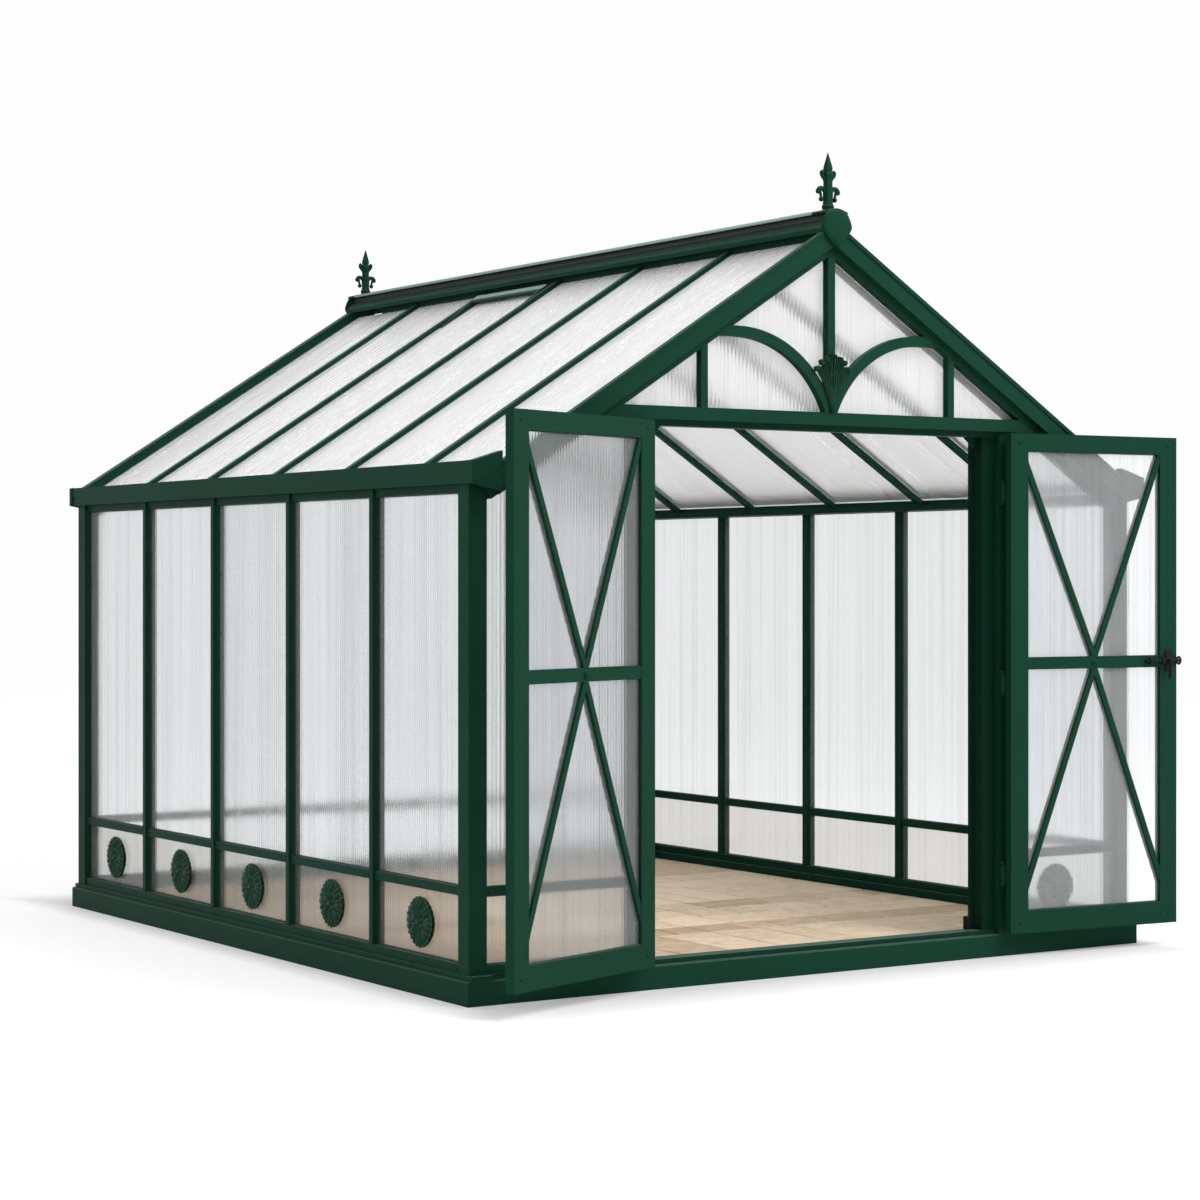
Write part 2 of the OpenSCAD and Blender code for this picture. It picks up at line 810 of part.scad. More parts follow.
// the point a moved further away from b by l
function past(a, b, l) = a + (a - b) * (l / norm(a - b));

module stroke_2d(a, b, w) {
  d = [b[0] - a[0], b[1] - a[1]];
  l = sqrt(d[0] * d[0] + d[1] * d[1]);
  n = [-d[1] / l * w / 2, d[0] / l * w / 2];
  polygon([a + n, a - n, b - n, b + n]);
}

// flat bar across the opening and four braces that meet at its edges, drawn in the
// leaf's plane; hinge_drop and free_drop lower the upper ends from the corners
module braces_2d(hinge_drop, free_drop) {
  x0 = leaf_s0 + stile_w + seat;
  x1 = leaf_s1 - stile_w - seat;
  z0 = leaf_z0 + bot_rail + seat;
  z1 = leaf_z1 - top_rail - seat;
  xc = (x0 + x1) / 2;
  over = brace_w * 2;
  intersection() {
    polygon([[x0, z0], [x1, z0], [x1, z1], [x0, z1]]);
    union() {
      polygon([[x0, bar_z - bar_h / 2], [x1, bar_z - bar_h / 2],
        [x1, bar_z + bar_h / 2], [x0, bar_z + bar_h / 2]]);
      for (s = [[x0, z1 - hinge_drop], [x1, z1 - free_drop]])
        stroke_2d(past(s, [xc, bar_z + bar_h / 2 - 4], over), [xc, bar_z + bar_h / 2 - 4],
          brace_w);
      for (s = [[x0, z0 + foot_rise], [x1, z0 + foot_rise]])
        stroke_2d(past(s, [xc, bar_z - bar_h / 2 + 4], over), [xc, bar_z - bar_h / 2 + 4],
          brace_w);
    }
  }
}

// bars and braces on both faces of the leaf, with a bolt head at the crossing
module leaf_braces(hinge_drop, free_drop) {
  xc = (leaf_s0 + leaf_s1) / 2;
  n0 = leaf_n0 + 2;
  n1 = leaf_n0 + leaf_t - 2;
  plate(n1 - brace_t, n1) braces_2d(hinge_drop, free_drop);
  plate(n0, n0 + brace_t) braces_2d(hinge_drop, free_drop);
  translate([xc, n1 - 1, bar_z]) rotate([-90, 0, 0]) cylinder(r = 14, h = 6);
}

// the sheet, held in the middle of the leaf's thickness between the braces
module leaf_panel() {
  e = seat;
  n0 = leaf_n0 + (leaf_t - sheet_t) / 2;
  box([leaf_s0 + stile_w + e, n0, leaf_z0 + bot_rail + e],
    [leaf_s1 - stile_w - e, n0 + sheet_t, leaf_z1 - top_rail - e]);
}

function hinge_zs() = [leaf_z0 + 220, (leaf_z0 + leaf_z1) / 2, leaf_z1 - 220];

// barrels that turn on the pins, each with its flap on the leaf's outer face
module leaf_hinges() {
  for (z = hinge_zs())
    difference() {
      union() {
        translate([0, 0, z - barrel_h / 2]) cylinder(r = 7, h = barrel_h);
        box([0, leaf_n0 - seat - 3, z - barrel_h / 2],
          [52, leaf_n0 - seat, z + barrel_h / 2]);
      }
      translate([0, 0, z - barrel_h]) cylinder(r = pin_r + 0.05, h = barrel_h * 2);
    }
}

module door_left_frame() {
  color(green) leaf_at(-1, left_open) leaf_frame();
}

module door_left_braces() {
  color(green) leaf_at(-1, left_open) leaf_braces(end_drop, top_drop);
}

module door_left_panel() {
  color(clear) leaf_at(-1, left_open) leaf_panel();
}

module door_left_hinges() {
  color(cast_green) leaf_at(-1, left_open) leaf_hinges();
}

module door_right_frame() {
  color(green) leaf_at(1, right_open) leaf_frame();
}

module door_right_braces() {
  color(green) leaf_at(1, right_open) leaf_braces(top_drop, end_drop);
}

module door_right_panel() {
  color(clear) leaf_at(1, right_open) leaf_panel();
}

module door_right_hinges() {
  color(cast_green) leaf_at(1, right_open) leaf_hinges();
}

// lever latch on the room face of the right leaf
module door_latch() {
  n = leaf_n0 + leaf_t + seat;
  color(black) leaf_at(1, right_open) {
    box([leaf_s1 - 62, n, bar_z - 26], [leaf_s1 - 6, n + 6, bar_z + 26]);
    box([leaf_s1 - 50, n + 5, bar_z - 7], [leaf_s1 + 20, n + 17, bar_z + 7]);
    translate([leaf_s1 - 34, n + 11, bar_z]) rotate([-90, 0, 0]) cylinder(r = 9, h = 22);
    box([leaf_s1 - 40, n + 27, bar_z - 46], [leaf_s1 - 28, n + 33, bar_z + 8]);
  }
}

// cover strips on the jambs, with the brackets and pins that carry the leaves
module hinge_strips() {
  x1 = open_hw + jamb_w - 1;
  color(cast_green) both_x() {
    box([pin_x + 1, fy - cover_t, step_h + seat],
      [cover_x, fy - seat, head_z + head_h - ledge_h - seat]);
    for (z = hinge_zs()) {
      box([pin_x + 1, pin_y + 12, z - 46], [x1, fy - cover_t + 1, z + 46]);
      for (dz = [-46, 38])
        translate([0, 0, z + dz]) linear_extrude(8) {
          polygon([[pin_x - 1, pin_y + 4], [pin_x + 1, pin_y + 16], [x1, pin_y + 16],
            [x1, pin_y + 10], [pin_x + 4, pin_y - 1]]);
          translate([pin_x, pin_y]) circle(5);
        }
      translate([pin_x, pin_y, z - 46]) cylinder(r = pin_r, h = 92);
    }
  }
}

base_sides();
base_ends();
floor_deck();
corner_posts();
door_jambs();
mullions_left();
mullions_right();
mullions_back();
eave_beams();
rails_left();
rails_right();
rails_back();
rails_front();
gutters();
gutter_ends();
tie_beam_front();
tie_beam_back();
rafters_front();
rafters_back();
gable_tracery();
studs_back();
leaf_ornament();
ridge_beam();
roof_bars_left();
roof_bars_right();
barge_front();
barge_back();
ridge_cap();
ridge_ends();
finials();
rosettes_left();
rosettes_front();
panels_left();
panels_right();
panels_back();
panels_front();
gable_panel_front();
gable_panel_back();
roof_panels_left();
roof_panels_right();
roof_vent();
hinge_strips();
foot_keepers();
door_left_frame();
door_left_braces();
door_left_panel();
door_left_hinges();
door_right_frame();
door_right_braces();
door_right_panel();
door_right_hinges();
door_latch();
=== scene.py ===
import json
import math

import bpy
import numpy as np
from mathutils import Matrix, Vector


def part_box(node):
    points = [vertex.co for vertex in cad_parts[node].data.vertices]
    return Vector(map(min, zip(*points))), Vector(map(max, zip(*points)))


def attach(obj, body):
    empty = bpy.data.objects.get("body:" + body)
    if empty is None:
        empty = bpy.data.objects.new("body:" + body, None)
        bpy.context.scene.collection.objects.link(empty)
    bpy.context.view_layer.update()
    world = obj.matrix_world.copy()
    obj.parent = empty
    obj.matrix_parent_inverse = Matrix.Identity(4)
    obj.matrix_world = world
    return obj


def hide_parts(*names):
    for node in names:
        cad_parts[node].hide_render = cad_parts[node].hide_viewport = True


bl_info = {
    "name": "Glazed garden house",
    "version": (1, 0, 0),
    "blender": (4, 5, 0),
    "location": "View3D > Sidebar > Garden house",
    "description": "Dresses the frame of a garden house with paint, sheets, castings and a floor",
    "category": "Object",
}

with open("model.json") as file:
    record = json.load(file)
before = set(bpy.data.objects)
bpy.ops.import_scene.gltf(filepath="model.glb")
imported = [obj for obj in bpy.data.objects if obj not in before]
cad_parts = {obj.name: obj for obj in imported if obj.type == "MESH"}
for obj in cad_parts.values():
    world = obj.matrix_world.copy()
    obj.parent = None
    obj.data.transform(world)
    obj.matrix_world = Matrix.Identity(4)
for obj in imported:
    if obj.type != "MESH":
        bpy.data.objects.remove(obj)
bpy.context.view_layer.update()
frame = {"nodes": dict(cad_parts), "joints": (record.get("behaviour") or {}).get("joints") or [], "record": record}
NODES = frame["nodes"]
PINS = {joint["child"]: np.array(joint["pos_m"]) for joint in frame["joints"]}
UP = np.array([0, 0, 1.0])
MM = 0.001
SKIN = 0.0005  # a point this near to the outermost one lies on the same face
ROOF_PITCH = math.radians(32.5)
SHEET_IOR = 1.22
SPLASH = 0.04  # how far the soil on the low panes reaches above the rosettes
LEAST_COURSE = 0.1
STONE_WIDTHS = (0.17, 0.4)  # of the stones that fill up a course
LEAST_STONE, MOST_STONE = 0.06, 0.45
BED_TONE = 2.0  # marks the bed under the stones, which has the joint's colour
BED_DEPTH = 0.005  # below the tops of the stones
RAIL = 0.2  # a rail is longer than this, and less tall
SCREW_INSET = 0.016  # from the end of a rail
APRON = 0.06  # floor round the deck that glows no more than under it
RISE_BESIDE, RISE_BEFORE = 0.2, 0.45  # widths over which its glow grows


# ---- settings
class FinishSettings(bpy.types.PropertyGroup):
    """Colours of the paint, the sheets and the floor."""

    frame_green: bpy.props.FloatVectorProperty(
        name="Frame green", description="Paint of the frame members",
        subtype="COLOR", size=3, min=0, max=1, default=(0.0062, 0.0343, 0.0200),
    )
    cast_green: bpy.props.FloatVectorProperty(
        name="Casting green", description="Paint of the cast ornament",
        subtype="COLOR", size=3, min=0, max=1, default=(0.0052, 0.0325, 0.0175),
    )
    sheet_tint: bpy.props.FloatVectorProperty(
        name="Wall sheet tint", description="Milky tint of the twin-wall sheets in the walls",
        subtype="COLOR", size=3, min=0, max=1, default=(0.90, 0.915, 0.925),
    )
    roof_tint: bpy.props.FloatVectorProperty(
        name="Roof sheet tint", description="Opal tint of the twin-wall sheets in the roof",
        subtype="COLOR", size=3, min=0, max=1, default=(0.995, 0.997, 1.0),
    )
    stone_pale: bpy.props.FloatVectorProperty(
        name="Pale stone", description="Lightest tone of the paving",
        subtype="COLOR", size=3, min=0, max=1, default=(0.80, 0.655, 0.485),
    )
    stone_brown: bpy.props.FloatVectorProperty(
        name="Brown stone", description="Darkest tone of the paving",
        subtype="COLOR", size=3, min=0, max=1, default=(0.47, 0.335, 0.21),
    )
    flute_pitch: bpy.props.FloatProperty(
        name="Flute pitch", description="Distance between the inner webs of a twin-wall sheet",
        unit="LENGTH", min=0.004, max=0.03, default=0.016,
    )


class FloorSettings(bpy.types.PropertyGroup):
    """Sizes of the paving on the floor."""

    joint: bpy.props.FloatProperty(
        name="Joint", description="Width of the joint between two stones",
        unit="LENGTH", min=0.002, max=0.02, default=0.008,
    )
    waver: bpy.props.FloatProperty(
        name="Waver", description="How far the edge of a stone strays from a straight line",
        unit="LENGTH", min=0, max=0.006, default=0.003,
    )
    seed: bpy.props.IntProperty(
        name="Seed", description="Start of the run of numbers that vary the stones",
        min=0, default=11,
    )


class OrnamentSettings(bpy.types.PropertyGroup):
    """Relief of the cast ornament."""

    leaves: bpy.props.IntProperty(
        name="Leaves", description="Leaves in the outer ring of a rosette",
        min=6, max=16, default=8,
    )
    relief: bpy.props.FloatProperty(
        name="Rosette relief", description="Height of the boss over the rosette's back",
        unit="LENGTH", min=0.01, max=0.03, default=0.028,
    )


class StageSettings(bpy.types.PropertyGroup):
    """Camera, lamps and backdrop."""

    lens: bpy.props.FloatProperty(
        name="Lens", description="Focal length in millimetres for a 36 mm sensor",
        min=20, max=200, default=83.33,
    )
    turn: bpy.props.FloatProperty(
        name="View turn", description="Direction of view, clockwise from the building's long axis",
        subtype="ANGLE", default=math.radians(32.895),
    )
    eye: bpy.props.FloatVectorProperty(
        name="Eye", description="Place of the camera",
        subtype="TRANSLATION", size=3, default=(-6.107, -9.624, 1.414),
    )
    rise: bpy.props.FloatProperty(
        name="Rise", description="Upward shift of the view as a share of its width",
        min=-1, max=1, default=-0.01768,
    )
    sky: bpy.props.FloatProperty(
        name="Sky level", description="Strength of the even light all round",
        min=0, max=2, default=0.8,
    )
    key: bpy.props.FloatProperty(
        name="Key level", description="Power of the large soft lamp over the front in watts",
        min=0, max=5000, default=700,
    )
    side: bpy.props.FloatProperty(
        name="Side level",
        description="Power of the soft lamp to the right of the doors in watts",
        min=0, max=5000, default=300,
    )
    fill: bpy.props.FloatProperty(
        name="Fill level", description="Power of the soft lamp over the left side in watts",
        min=0, max=5000, default=200,
    )


# ---- mesh tools
def rings(grid, out=1):
    """Points and quads of a grid of points, one row to a ring: the last point of a ring joins its
    first. Where that would turn the faces inwards, out is -1."""
    rows, cols = grid.shape[:2]
    r = np.arange(rows - 1)[:, None] * cols
    c = np.arange(cols)[None, :]
    n = (c + 1) % cols
    quads = np.stack([r + c, r + n, r + cols + n, r + cols + c], -1).reshape(-1, 4)
    return grid.reshape(-1, 3), quads[:, ::out]


def join_parts(parts):
    """Points and quads of several parts, each a pair of arrays, as one pair."""
    counts = np.cumsum([0] + [len(p) for p, _ in parts])
    points = np.concatenate([np.asarray(p, float) for p, _ in parts])
    return points, np.concatenate([np.asarray(f) + n for (_, f), n in zip(parts, counts)])


def put_mesh(name, parts, coat, body, smooth=True):
    """A mesh object from parts, each a pair of arrays of points and quads."""
    points, faces = join_parts(parts)
    mesh = bpy.data.meshes.new(name)
    mesh.from_pydata(points.tolist(), [], faces.tolist())
    mesh.validate()
    mesh.polygons.foreach_set("use_smooth", np.full(len(mesh.polygons), smooth))
    mesh.materials.append(bpy.data.materials[coat])
    mesh.update()
    obj = bpy.data.objects.new(name, mesh)
    bpy.context.scene.collection.objects.link(obj)
    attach(obj, body)
    return obj


def put_values(obj, name, values):
    """Stores a number for every vertex of a piece, under the name that its material reads."""
    values = np.concatenate([np.asarray(v, np.float32).reshape(-1) for v in values])
    obj.data.attributes.new(name, "FLOAT", "POINT").data.foreach_set("value", values)


def unit(vectors):
    """Vectors of length one."""
    return vectors / np.linalg.norm(vectors, axis=-1, keepdims=True)


def outline(count, power=2, start=0.0):
    """Cosines and sines of even angles, divided by the power mean of both: a circle that grows
    square as the power grows."""
    a = np.linspace(0, 2 * math.pi, count, endpoint=False) + start
    c, s = np.cos(a), np.sin(a)
    k = (np.abs(c) ** power + np.abs(s) ** power) ** (1 / power)
    return c / k, s / k


def lathe(profile, turns=48, power=2, start=0.0):
    """Each (radius, height) of the profile carried round an outline about Z. The first and the
    last radius are zero, so the poles close."""
    profile = np.asarray(profile, float)
    x, y = outline(turns, power, start)
    r, z = profile[:, :1], profile[:, 1:]
    return rings(np.stack([r * x, r * y, z + 0 * x], -1))


def tube(path, radii, flat=1.0, sides=12, normal=(0, 1, 0)):
    """Tube along a path: at each point an ellipse of that radius, squeezed by flat along the
    normal, stands square to the path. The ends are drawn together so that they close."""
    t = unit(np.gradient(path, axis=0))
    b = unit(np.cross(t, np.asarray(normal, float) + 0 * t))
    n = np.cross(b, t)
    path, b, n = (np.concatenate([v[:1], v, v[-1:]])[:, None] for v in (path, b, n))
    radii = np.concatenate([[0], radii, [0]])[:, None, None]
    x, y = (v[:, None] for v in outline(sides))
    return rings(path + radii * (b * x + flat * n * y), -1)


def ball(centre, radius, squash=(1, 1, 1)):
    """Sphere as a lathe of a half circle, squashed and moved to its centre."""
    a = np.linspace(-math.pi / 2, math.pi / 2, 10)
    p, f = lathe(np.stack([radius * np.cos(a), radius * np.sin(a)], -1), 16)
    return p * squash + centre, f


def placed(part, turn, move, out=1):
    """A part turned by a 3 by 3 matrix and then moved; out is -1 for a matrix that mirrors."""
    p, f = part
    return p @ turn.T + move, f[:, ::out]


def bar(lo, hi):
    """Closed box from its lowest and highest corners."""
    k = np.array([[x, y, z] for z in (0, 1) for x, y in ((0, 0), (1, 0), (1, 1), (0, 1))])
    f = [[0, 3, 2, 1], [4, 5, 6, 7], [0, 1, 5, 4], [1, 2, 6, 5], [2, 3, 7, 6], [3, 0, 4, 7]]
    return lo + k * (hi - lo), np.array(f)


def node_points(name):
    """All vertices of a CAD node as an array."""
    mesh = NODES[name].data
    co = np.zeros(len(mesh.vertices) * 3, np.float32)
    mesh.vertices.foreach_get("co", co)
    return co.reshape(-1, 3).astype(float)


def solid_points(name):
    """The corners of each separate solid in a CAD node. Points at one place share a label; every
    triangle's lowest label spreads over its corners until nothing changes."""
    mesh = NODES[name].data
    spots, same = np.unique(np.round(node_points(name), 5), axis=0, return_inverse=True)
    tri = np.zeros(len(mesh.loops), np.int32)
    mesh.loops.foreach_get("vertex_index", tri)
    tri = same.reshape(-1)[tri.reshape(-1, 3)]
    label, old = np.arange(len(spots)), None
    while not np.array_equal(label, old):
        old = label.copy()
        np.minimum.at(label, tri.reshape(-1), np.repeat(old[tri].min(1), 3))
        label = label[label]
    return [spots[label == k] for k in np.unique(label)]


def solids_of(name):
    """(lowest, highest) corners of each separate solid in a CAD node."""
    return [(p.min(0), p.max(0)) for p in solid_points(name)]


def smooth_curve(points, count=40):
    """A curve through the points: a Catmull-Rom sum of four neighbours by powers of the run."""
    p = np.concatenate([2 * points[:1] - points[1:2], points, 2 * points[-1:] - points[-2:-1]])
    t = np.linspace(0, len(points) - 1.0001, count)
    i = t.astype(int)
    u = (t - i)[:, None]
    a, b, c, d = (p[i + k] for k in range(4))
    bend = 2 * a - 5 * b + 4 * c - d
    return 0.5 * (2 * b + (c - a) * u + bend * u**2 + (3 * b - a - 3 * c + d) * u**3)


# ---- shader tools
def new_material(name):
    """A cleared material with its Principled shader and output, and its tree."""
    mat = bpy.data.materials.new(name)
    mat.use_nodes = True
    tree = mat.node_tree
    tree.nodes.clear()
    shader = tree.nodes.new("ShaderNodeBsdfPrincipled")
    node(tree, "ShaderNodeOutputMaterial", {"Surface": shader.outputs["BSDF"]})
    return mat, tree, shader.inputs


def feed(tree, sockets, values):
    """Gives input sockets their values by name or number: a socket is linked, any other value is
    set, and a colour needs only its first three parts."""
    for key, value in values.items():
        if hasattr(value, "is_linked"):
            tree.links.new(value, sockets[key])
        elif sockets[key].type == "RGBA":
            sockets[key].default_value = (*value, 1)
        else:
            sockets[key].default_value = value


def node(tree, kind, values=None, **settings):
    """A shader node with its settings and input values."""
    made = tree.nodes.new(kind)
    for key, value in settings.items():
        setattr(made, key, value)
    feed(tree, made.inputs, values or {})
    return made


def maths(tree, operation, *operands):
    """A Math node; each operand is a socket or a number."""
    return node(tree, "ShaderNodeMath", dict(enumerate(operands)), operation=operation).outputs[0]


def stray(tree, fac, amount, base):
    """Base plus amount times how far a noise strays from its middle."""
    return maths(tree, "MULTIPLY_ADD", maths(tree, "SUBTRACT", fac, 0.5), amount, base)


def noise(tree, place, scale, detail, **more):
    """A noise read at a place; more names its roughness or distortion."""
    more = {key.capitalize(): value for key, value in more.items()}
    values = {"Vector": place, "Scale": scale, "Detail": detail, **more}
    return node(tree, "ShaderNodeTexNoise", values).outputs["Fac"]


def object_place(tree):
    """The place on the piece in object coordinates."""
    return node(tree, "ShaderNodeTexCoord").outputs["Object"]


def axes(tree, vector):
    """The three parts of a vector."""
    return node(tree, "ShaderNodeSeparateXYZ", {0: vector}).outputs


def mix_colour(tree, factor, a, b, blend="MIX"):
    """A colour Mix node; each operand is a socket, a number or a colour."""
    values = {0: factor, 6: a, 7: b}
    return node(tree, "ShaderNodeMix", values, data_type="RGBA", blend_type=blend).outputs[2]


def shaded(tree, colour, tone):
    """A colour made lighter or darker by a tone."""
    grey = node(tree, "ShaderNodeCombineColor", {k: tone for k in ("Red", "Green", "Blue")})
    return mix_colour(tree, 1.0, colour, grey.outputs["Color"], "MULTIPLY")


def ramp(tree, value, low, high):
    """A colour ramp from black at low to white at high."""
    made = node(tree, "ShaderNodeValToRGB", {"Fac": value})
    for stop, place, grey in zip(made.color_ramp.elements, (low, high), (0, 1)):
        stop.position = place
        stop.color = (grey, grey, grey, 1)
    return made.outputs["Color"]


def group(name, inputs):
    """An empty shader node group with its given and its wanted sockets. It takes the inputs, each a
    Color or a Float, and puts out a colour, a roughness and a height."""
    tree = bpy.data.node_groups.new(name, "ShaderNodeTree")
    outputs = {"Color": "Color", "Roughness": "Float", "Height": "Float"}
    for way, sockets in (("INPUT", inputs), ("OUTPUT", outputs)):
        for label, kind in sockets.items():
            tree.interface.new_socket(name=label, in_out=way, socket_type="NodeSocket" + kind)
    wanted = tree.nodes.new("NodeGroupOutput").inputs
    return tree, tree.nodes.new("NodeGroupInput").outputs, wanted


def use_group(tree, grp, **values):
    """The outputs of a group placed in a material with its own values."""
    return node(tree, "ShaderNodeGroup", values, node_tree=grp).outputs


def coat_group():
    """Powder coat: slow tone drift, fine grain, a pale green-grey mix on upward faces, partly a dusty film that
    settles there and partly a painted sheen of light from above, and a fine orange-peel height."""
    inputs = {"Paint": "Color", "Dust": "Float", "Drift": "Float"}
    tree, given, wanted = group("powder coat", inputs)
    place = object_place(tree)
    slow = noise(tree, place, 1.7, 3.0)
    fine = noise(tree, place, 38.0, 4.0, roughness=0.65)
    peel = noise(tree, place, 420.0, 2.0)
    tone = stray(tree, fine, 0.22, stray(tree, slow, given["Drift"], 1.0))
    paint = shaded(tree, given["Paint"], tone)
    up = axes(tree, node(tree, "ShaderNodeNewGeometry").outputs["Normal"])["Z"]
    # Upward faces take a pale green-grey mix: partly a dusty film, partly a painted sheen of light from above.
    flat = maths(tree, "MULTIPLY", ramp(tree, up, 0.35, 0.98), given["Dust"])
    dust_and_sheen = maths(tree, "MULTIPLY", flat, fine)
    rough = maths(tree, "MULTIPLY_ADD", fine, 0.16, 0.3)
    feed(tree, wanted, {
        "Color": mix_colour(tree, dust_and_sheen, paint, (0.24, 0.34, 0.29)),
        "Roughness": maths(tree, "ADD", rough, maths(tree, "MULTIPLY", dust_and_sheen, 0.4)),
        "Height": peel,
    })
    return tree


def flute_group(pitch):
    """Twin-wall sheet: across the webs the height is a cosine of the place over the pitch, and the
    tone darkens at each web; broad and narrow streaks run along the webs, and a slow ripple of the
    skin is added to the height."""
    inputs = dict.fromkeys(("Across", "Along", "Tint", "Web", "Grain"), "Float")
    inputs["Tint"] = "Color"
    tree, given, wanted = group("fluted sheet", inputs)
    turns = maths(tree, "MULTIPLY", given["Across"], 2 * math.pi / pitch)
    wave = maths(tree, "MULTIPLY_ADD", maths(tree, "COSINE", turns), 0.5, 0.5)
    place = maths(tree, "MULTIPLY", given["Across"], given["Grain"])
    streaks = []
    for across, along, detail in ((24.0, 0.3, 2.0), (110.0, 0.4, 2.0), (70.0, 12.0, 1.0)):
        spot = node(tree, "ShaderNodeCombineXYZ", {
            "X": maths(tree, "MULTIPLY", place, across),
            "Y": maths(tree, "MULTIPLY", given["Along"], along),
        })
        streaks.append(noise(tree, spot.outputs["Vector"], 1.0, detail))
    broad, narrow, ripple = streaks
    dark = maths(tree, "MULTIPLY", maths(tree, "POWER", wave, 6.0), given["Web"])
    dark = stray(tree, narrow, 0.38, stray(tree, broad, 0.16, dark))
    tone = maths(tree, "MINIMUM", maths(tree, "SUBTRACT", 1.0, dark), 1.0)
    feed(tree, wanted, {
        "Color": shaded(tree, given["Tint"], tone),
        "Roughness": maths(tree, "MULTIPLY_ADD", broad, 0.16, 0.06),
        "Height": maths(tree, "MULTIPLY_ADD", ripple, 0.3, maths(tree, "MULTIPLY", wave, 0.28)),
    })
    return tree


def stone_group():
    """Paving stone: cloudy noise, moved by the stone's own tone so that no two match, carries the
    colour from pale to brown; fine noise gives the grit, and the joint has its own colour."""
    inputs = {"Tone": "Float", "Pale": "Color", "Brown": "Color", "Joint": "Color"}
    tree, given, wanted = group("paving stone", inputs)
    tone = given["Tone"]
    shift = node(tree, "ShaderNodeCombineXYZ", {
        "X": maths(tree, "MULTIPLY", tone, 37.0), "Z": maths(tree, "MULTIPLY", tone, 91.0),
    })
    ends = {0: object_place(tree), 1: shift.outputs["Vector"]}
    place = node(tree, "ShaderNodeVectorMath", ends, operation="ADD").outputs["Vector"]
    cloud = noise(tree, place, 16.0, 4.0, roughness=0.6, distortion=0.6)
    grit = noise(tree, place, 130.0, 3.0)
    mix = stray(tree, grit, 0.35, stray(tree, cloud, 1.35, tone))
    stone = mix_colour(tree, mix, given["Pale"], given["Brown"])
    gap = ramp(tree, maths(tree, "MULTIPLY", tone, 0.25), 0.45, 0.49)
    feed(tree, wanted, {
        "Color": mix_colour(tree, gap, stone, given["Joint"]),
        "Roughness": maths(tree, "MULTIPLY_ADD", grit, 0.2, 0.55),
        "Height": maths(tree, "MULTIPLY_ADD", grit, 0.3, cloud),
    })
    return tree


def dress(tree, shader, made, strength, distance, rough=0.0):
    """Feeds a group's colour, roughness and height to the shader; rough is added to its
    roughness."""
    lump = {"Strength": strength, "Distance": distance, "Height": made["Height"]}
    feed(tree, shader, {
        "Base Color": made["Color"],
        "Roughness": maths(tree, "ADD", made["Roughness"], rough) if rough else made["Roughness"],
        "Normal": node(tree, "ShaderNodeBump", lump).outputs["Normal"],
    })


def coated(name, grp, colour, dust_and_sheen=0.2, drift=0.25, peel=0.0003, relief_painted_light=False):
    """Painted metal. A casting with relief light reads its own attribute of painted light: darker paint in the
    grooves as painted shade, and lighter paint on the ridges as painted highlights."""
    _, tree, shader = new_material(name)
    paint = colour
    if relief_painted_light:
        # Painted light: the attribute darkens the paint to 0.3 in the grooves as painted shade and lightens it to
        # four times on the ridges as painted highlights.
        painted_light = node(tree, "ShaderNodeAttribute", attribute_name="painted_light").outputs["Fac"]
        painted_light = maths(tree, "POWER", painted_light, 2.0)
        paint = mix_colour(tree, painted_light, [0.3 * v for v in colour], [4.0 * v for v in colour])
    made = use_group(tree, grp, Paint=paint, Dust=dust_and_sheen, Drift=drift)
    shader["Specular IOR Level"].default_value = 0.1 if relief_painted_light else 0.02
    dress(tree, shader, made, 0.35, peel)


def painted_light_of(height, span):
    """Painted light from a grid of heights: how far each point stands over the mean of its neighbours along the
    second axis, from 0 in a groove, painted shade, to 1 on a ridge, a painted highlight."""
    mean = sum(np.roll(height, k, 1) for k in range(-span, span + 1)) / (2 * span + 1)
    over = height - mean
    return np.clip(0.42 + 0.8 * over / (np.abs(over).max() + 1e-9), 0, 1)


def sheet(name, grp, colour, angle, along, through, rough=0.0, skin=0.5, grain=1.0, soil=None):
    """Twin-wall sheet: plain transmission, tinted by the flutes. The webs are counted across a
    direction turned by angle from X; along is the axis that they follow. Under the height soil the
    sheet is tinted by splashed earth."""
    _, tree, shader = new_material(name)
    values = {"Vector": object_place(tree), "Rotation": (0, 0, -angle)}
    place = axes(tree, node(tree, "ShaderNodeMapping", values).outputs["Vector"])
    tint = colour
    if soil is not None:
        low = maths(tree, "LESS_THAN", place["Z"], soil)
        tint = mix_colour(tree, low, colour, np.multiply(colour, (0.8, 0.775, 0.745)))
    made = use_group(
        tree, grp, Across=place["X"], Along=place[along], Tint=tint, Web=0.07, Grain=grain
    )
    plain = {"IOR": SHEET_IOR, "Transmission Weight": through, "Specular IOR Level": 0.5}
    feed(tree, shader, plain)
    dress(tree, shader, made, skin, 0.0012, rough)


def paint_nodes(coat, *names):
    """Gives CAD nodes one material."""
    for name in names:
        mesh = NODES[name].data
        mesh.materials.clear()
        mesh.materials.append(bpy.data.materials[coat])


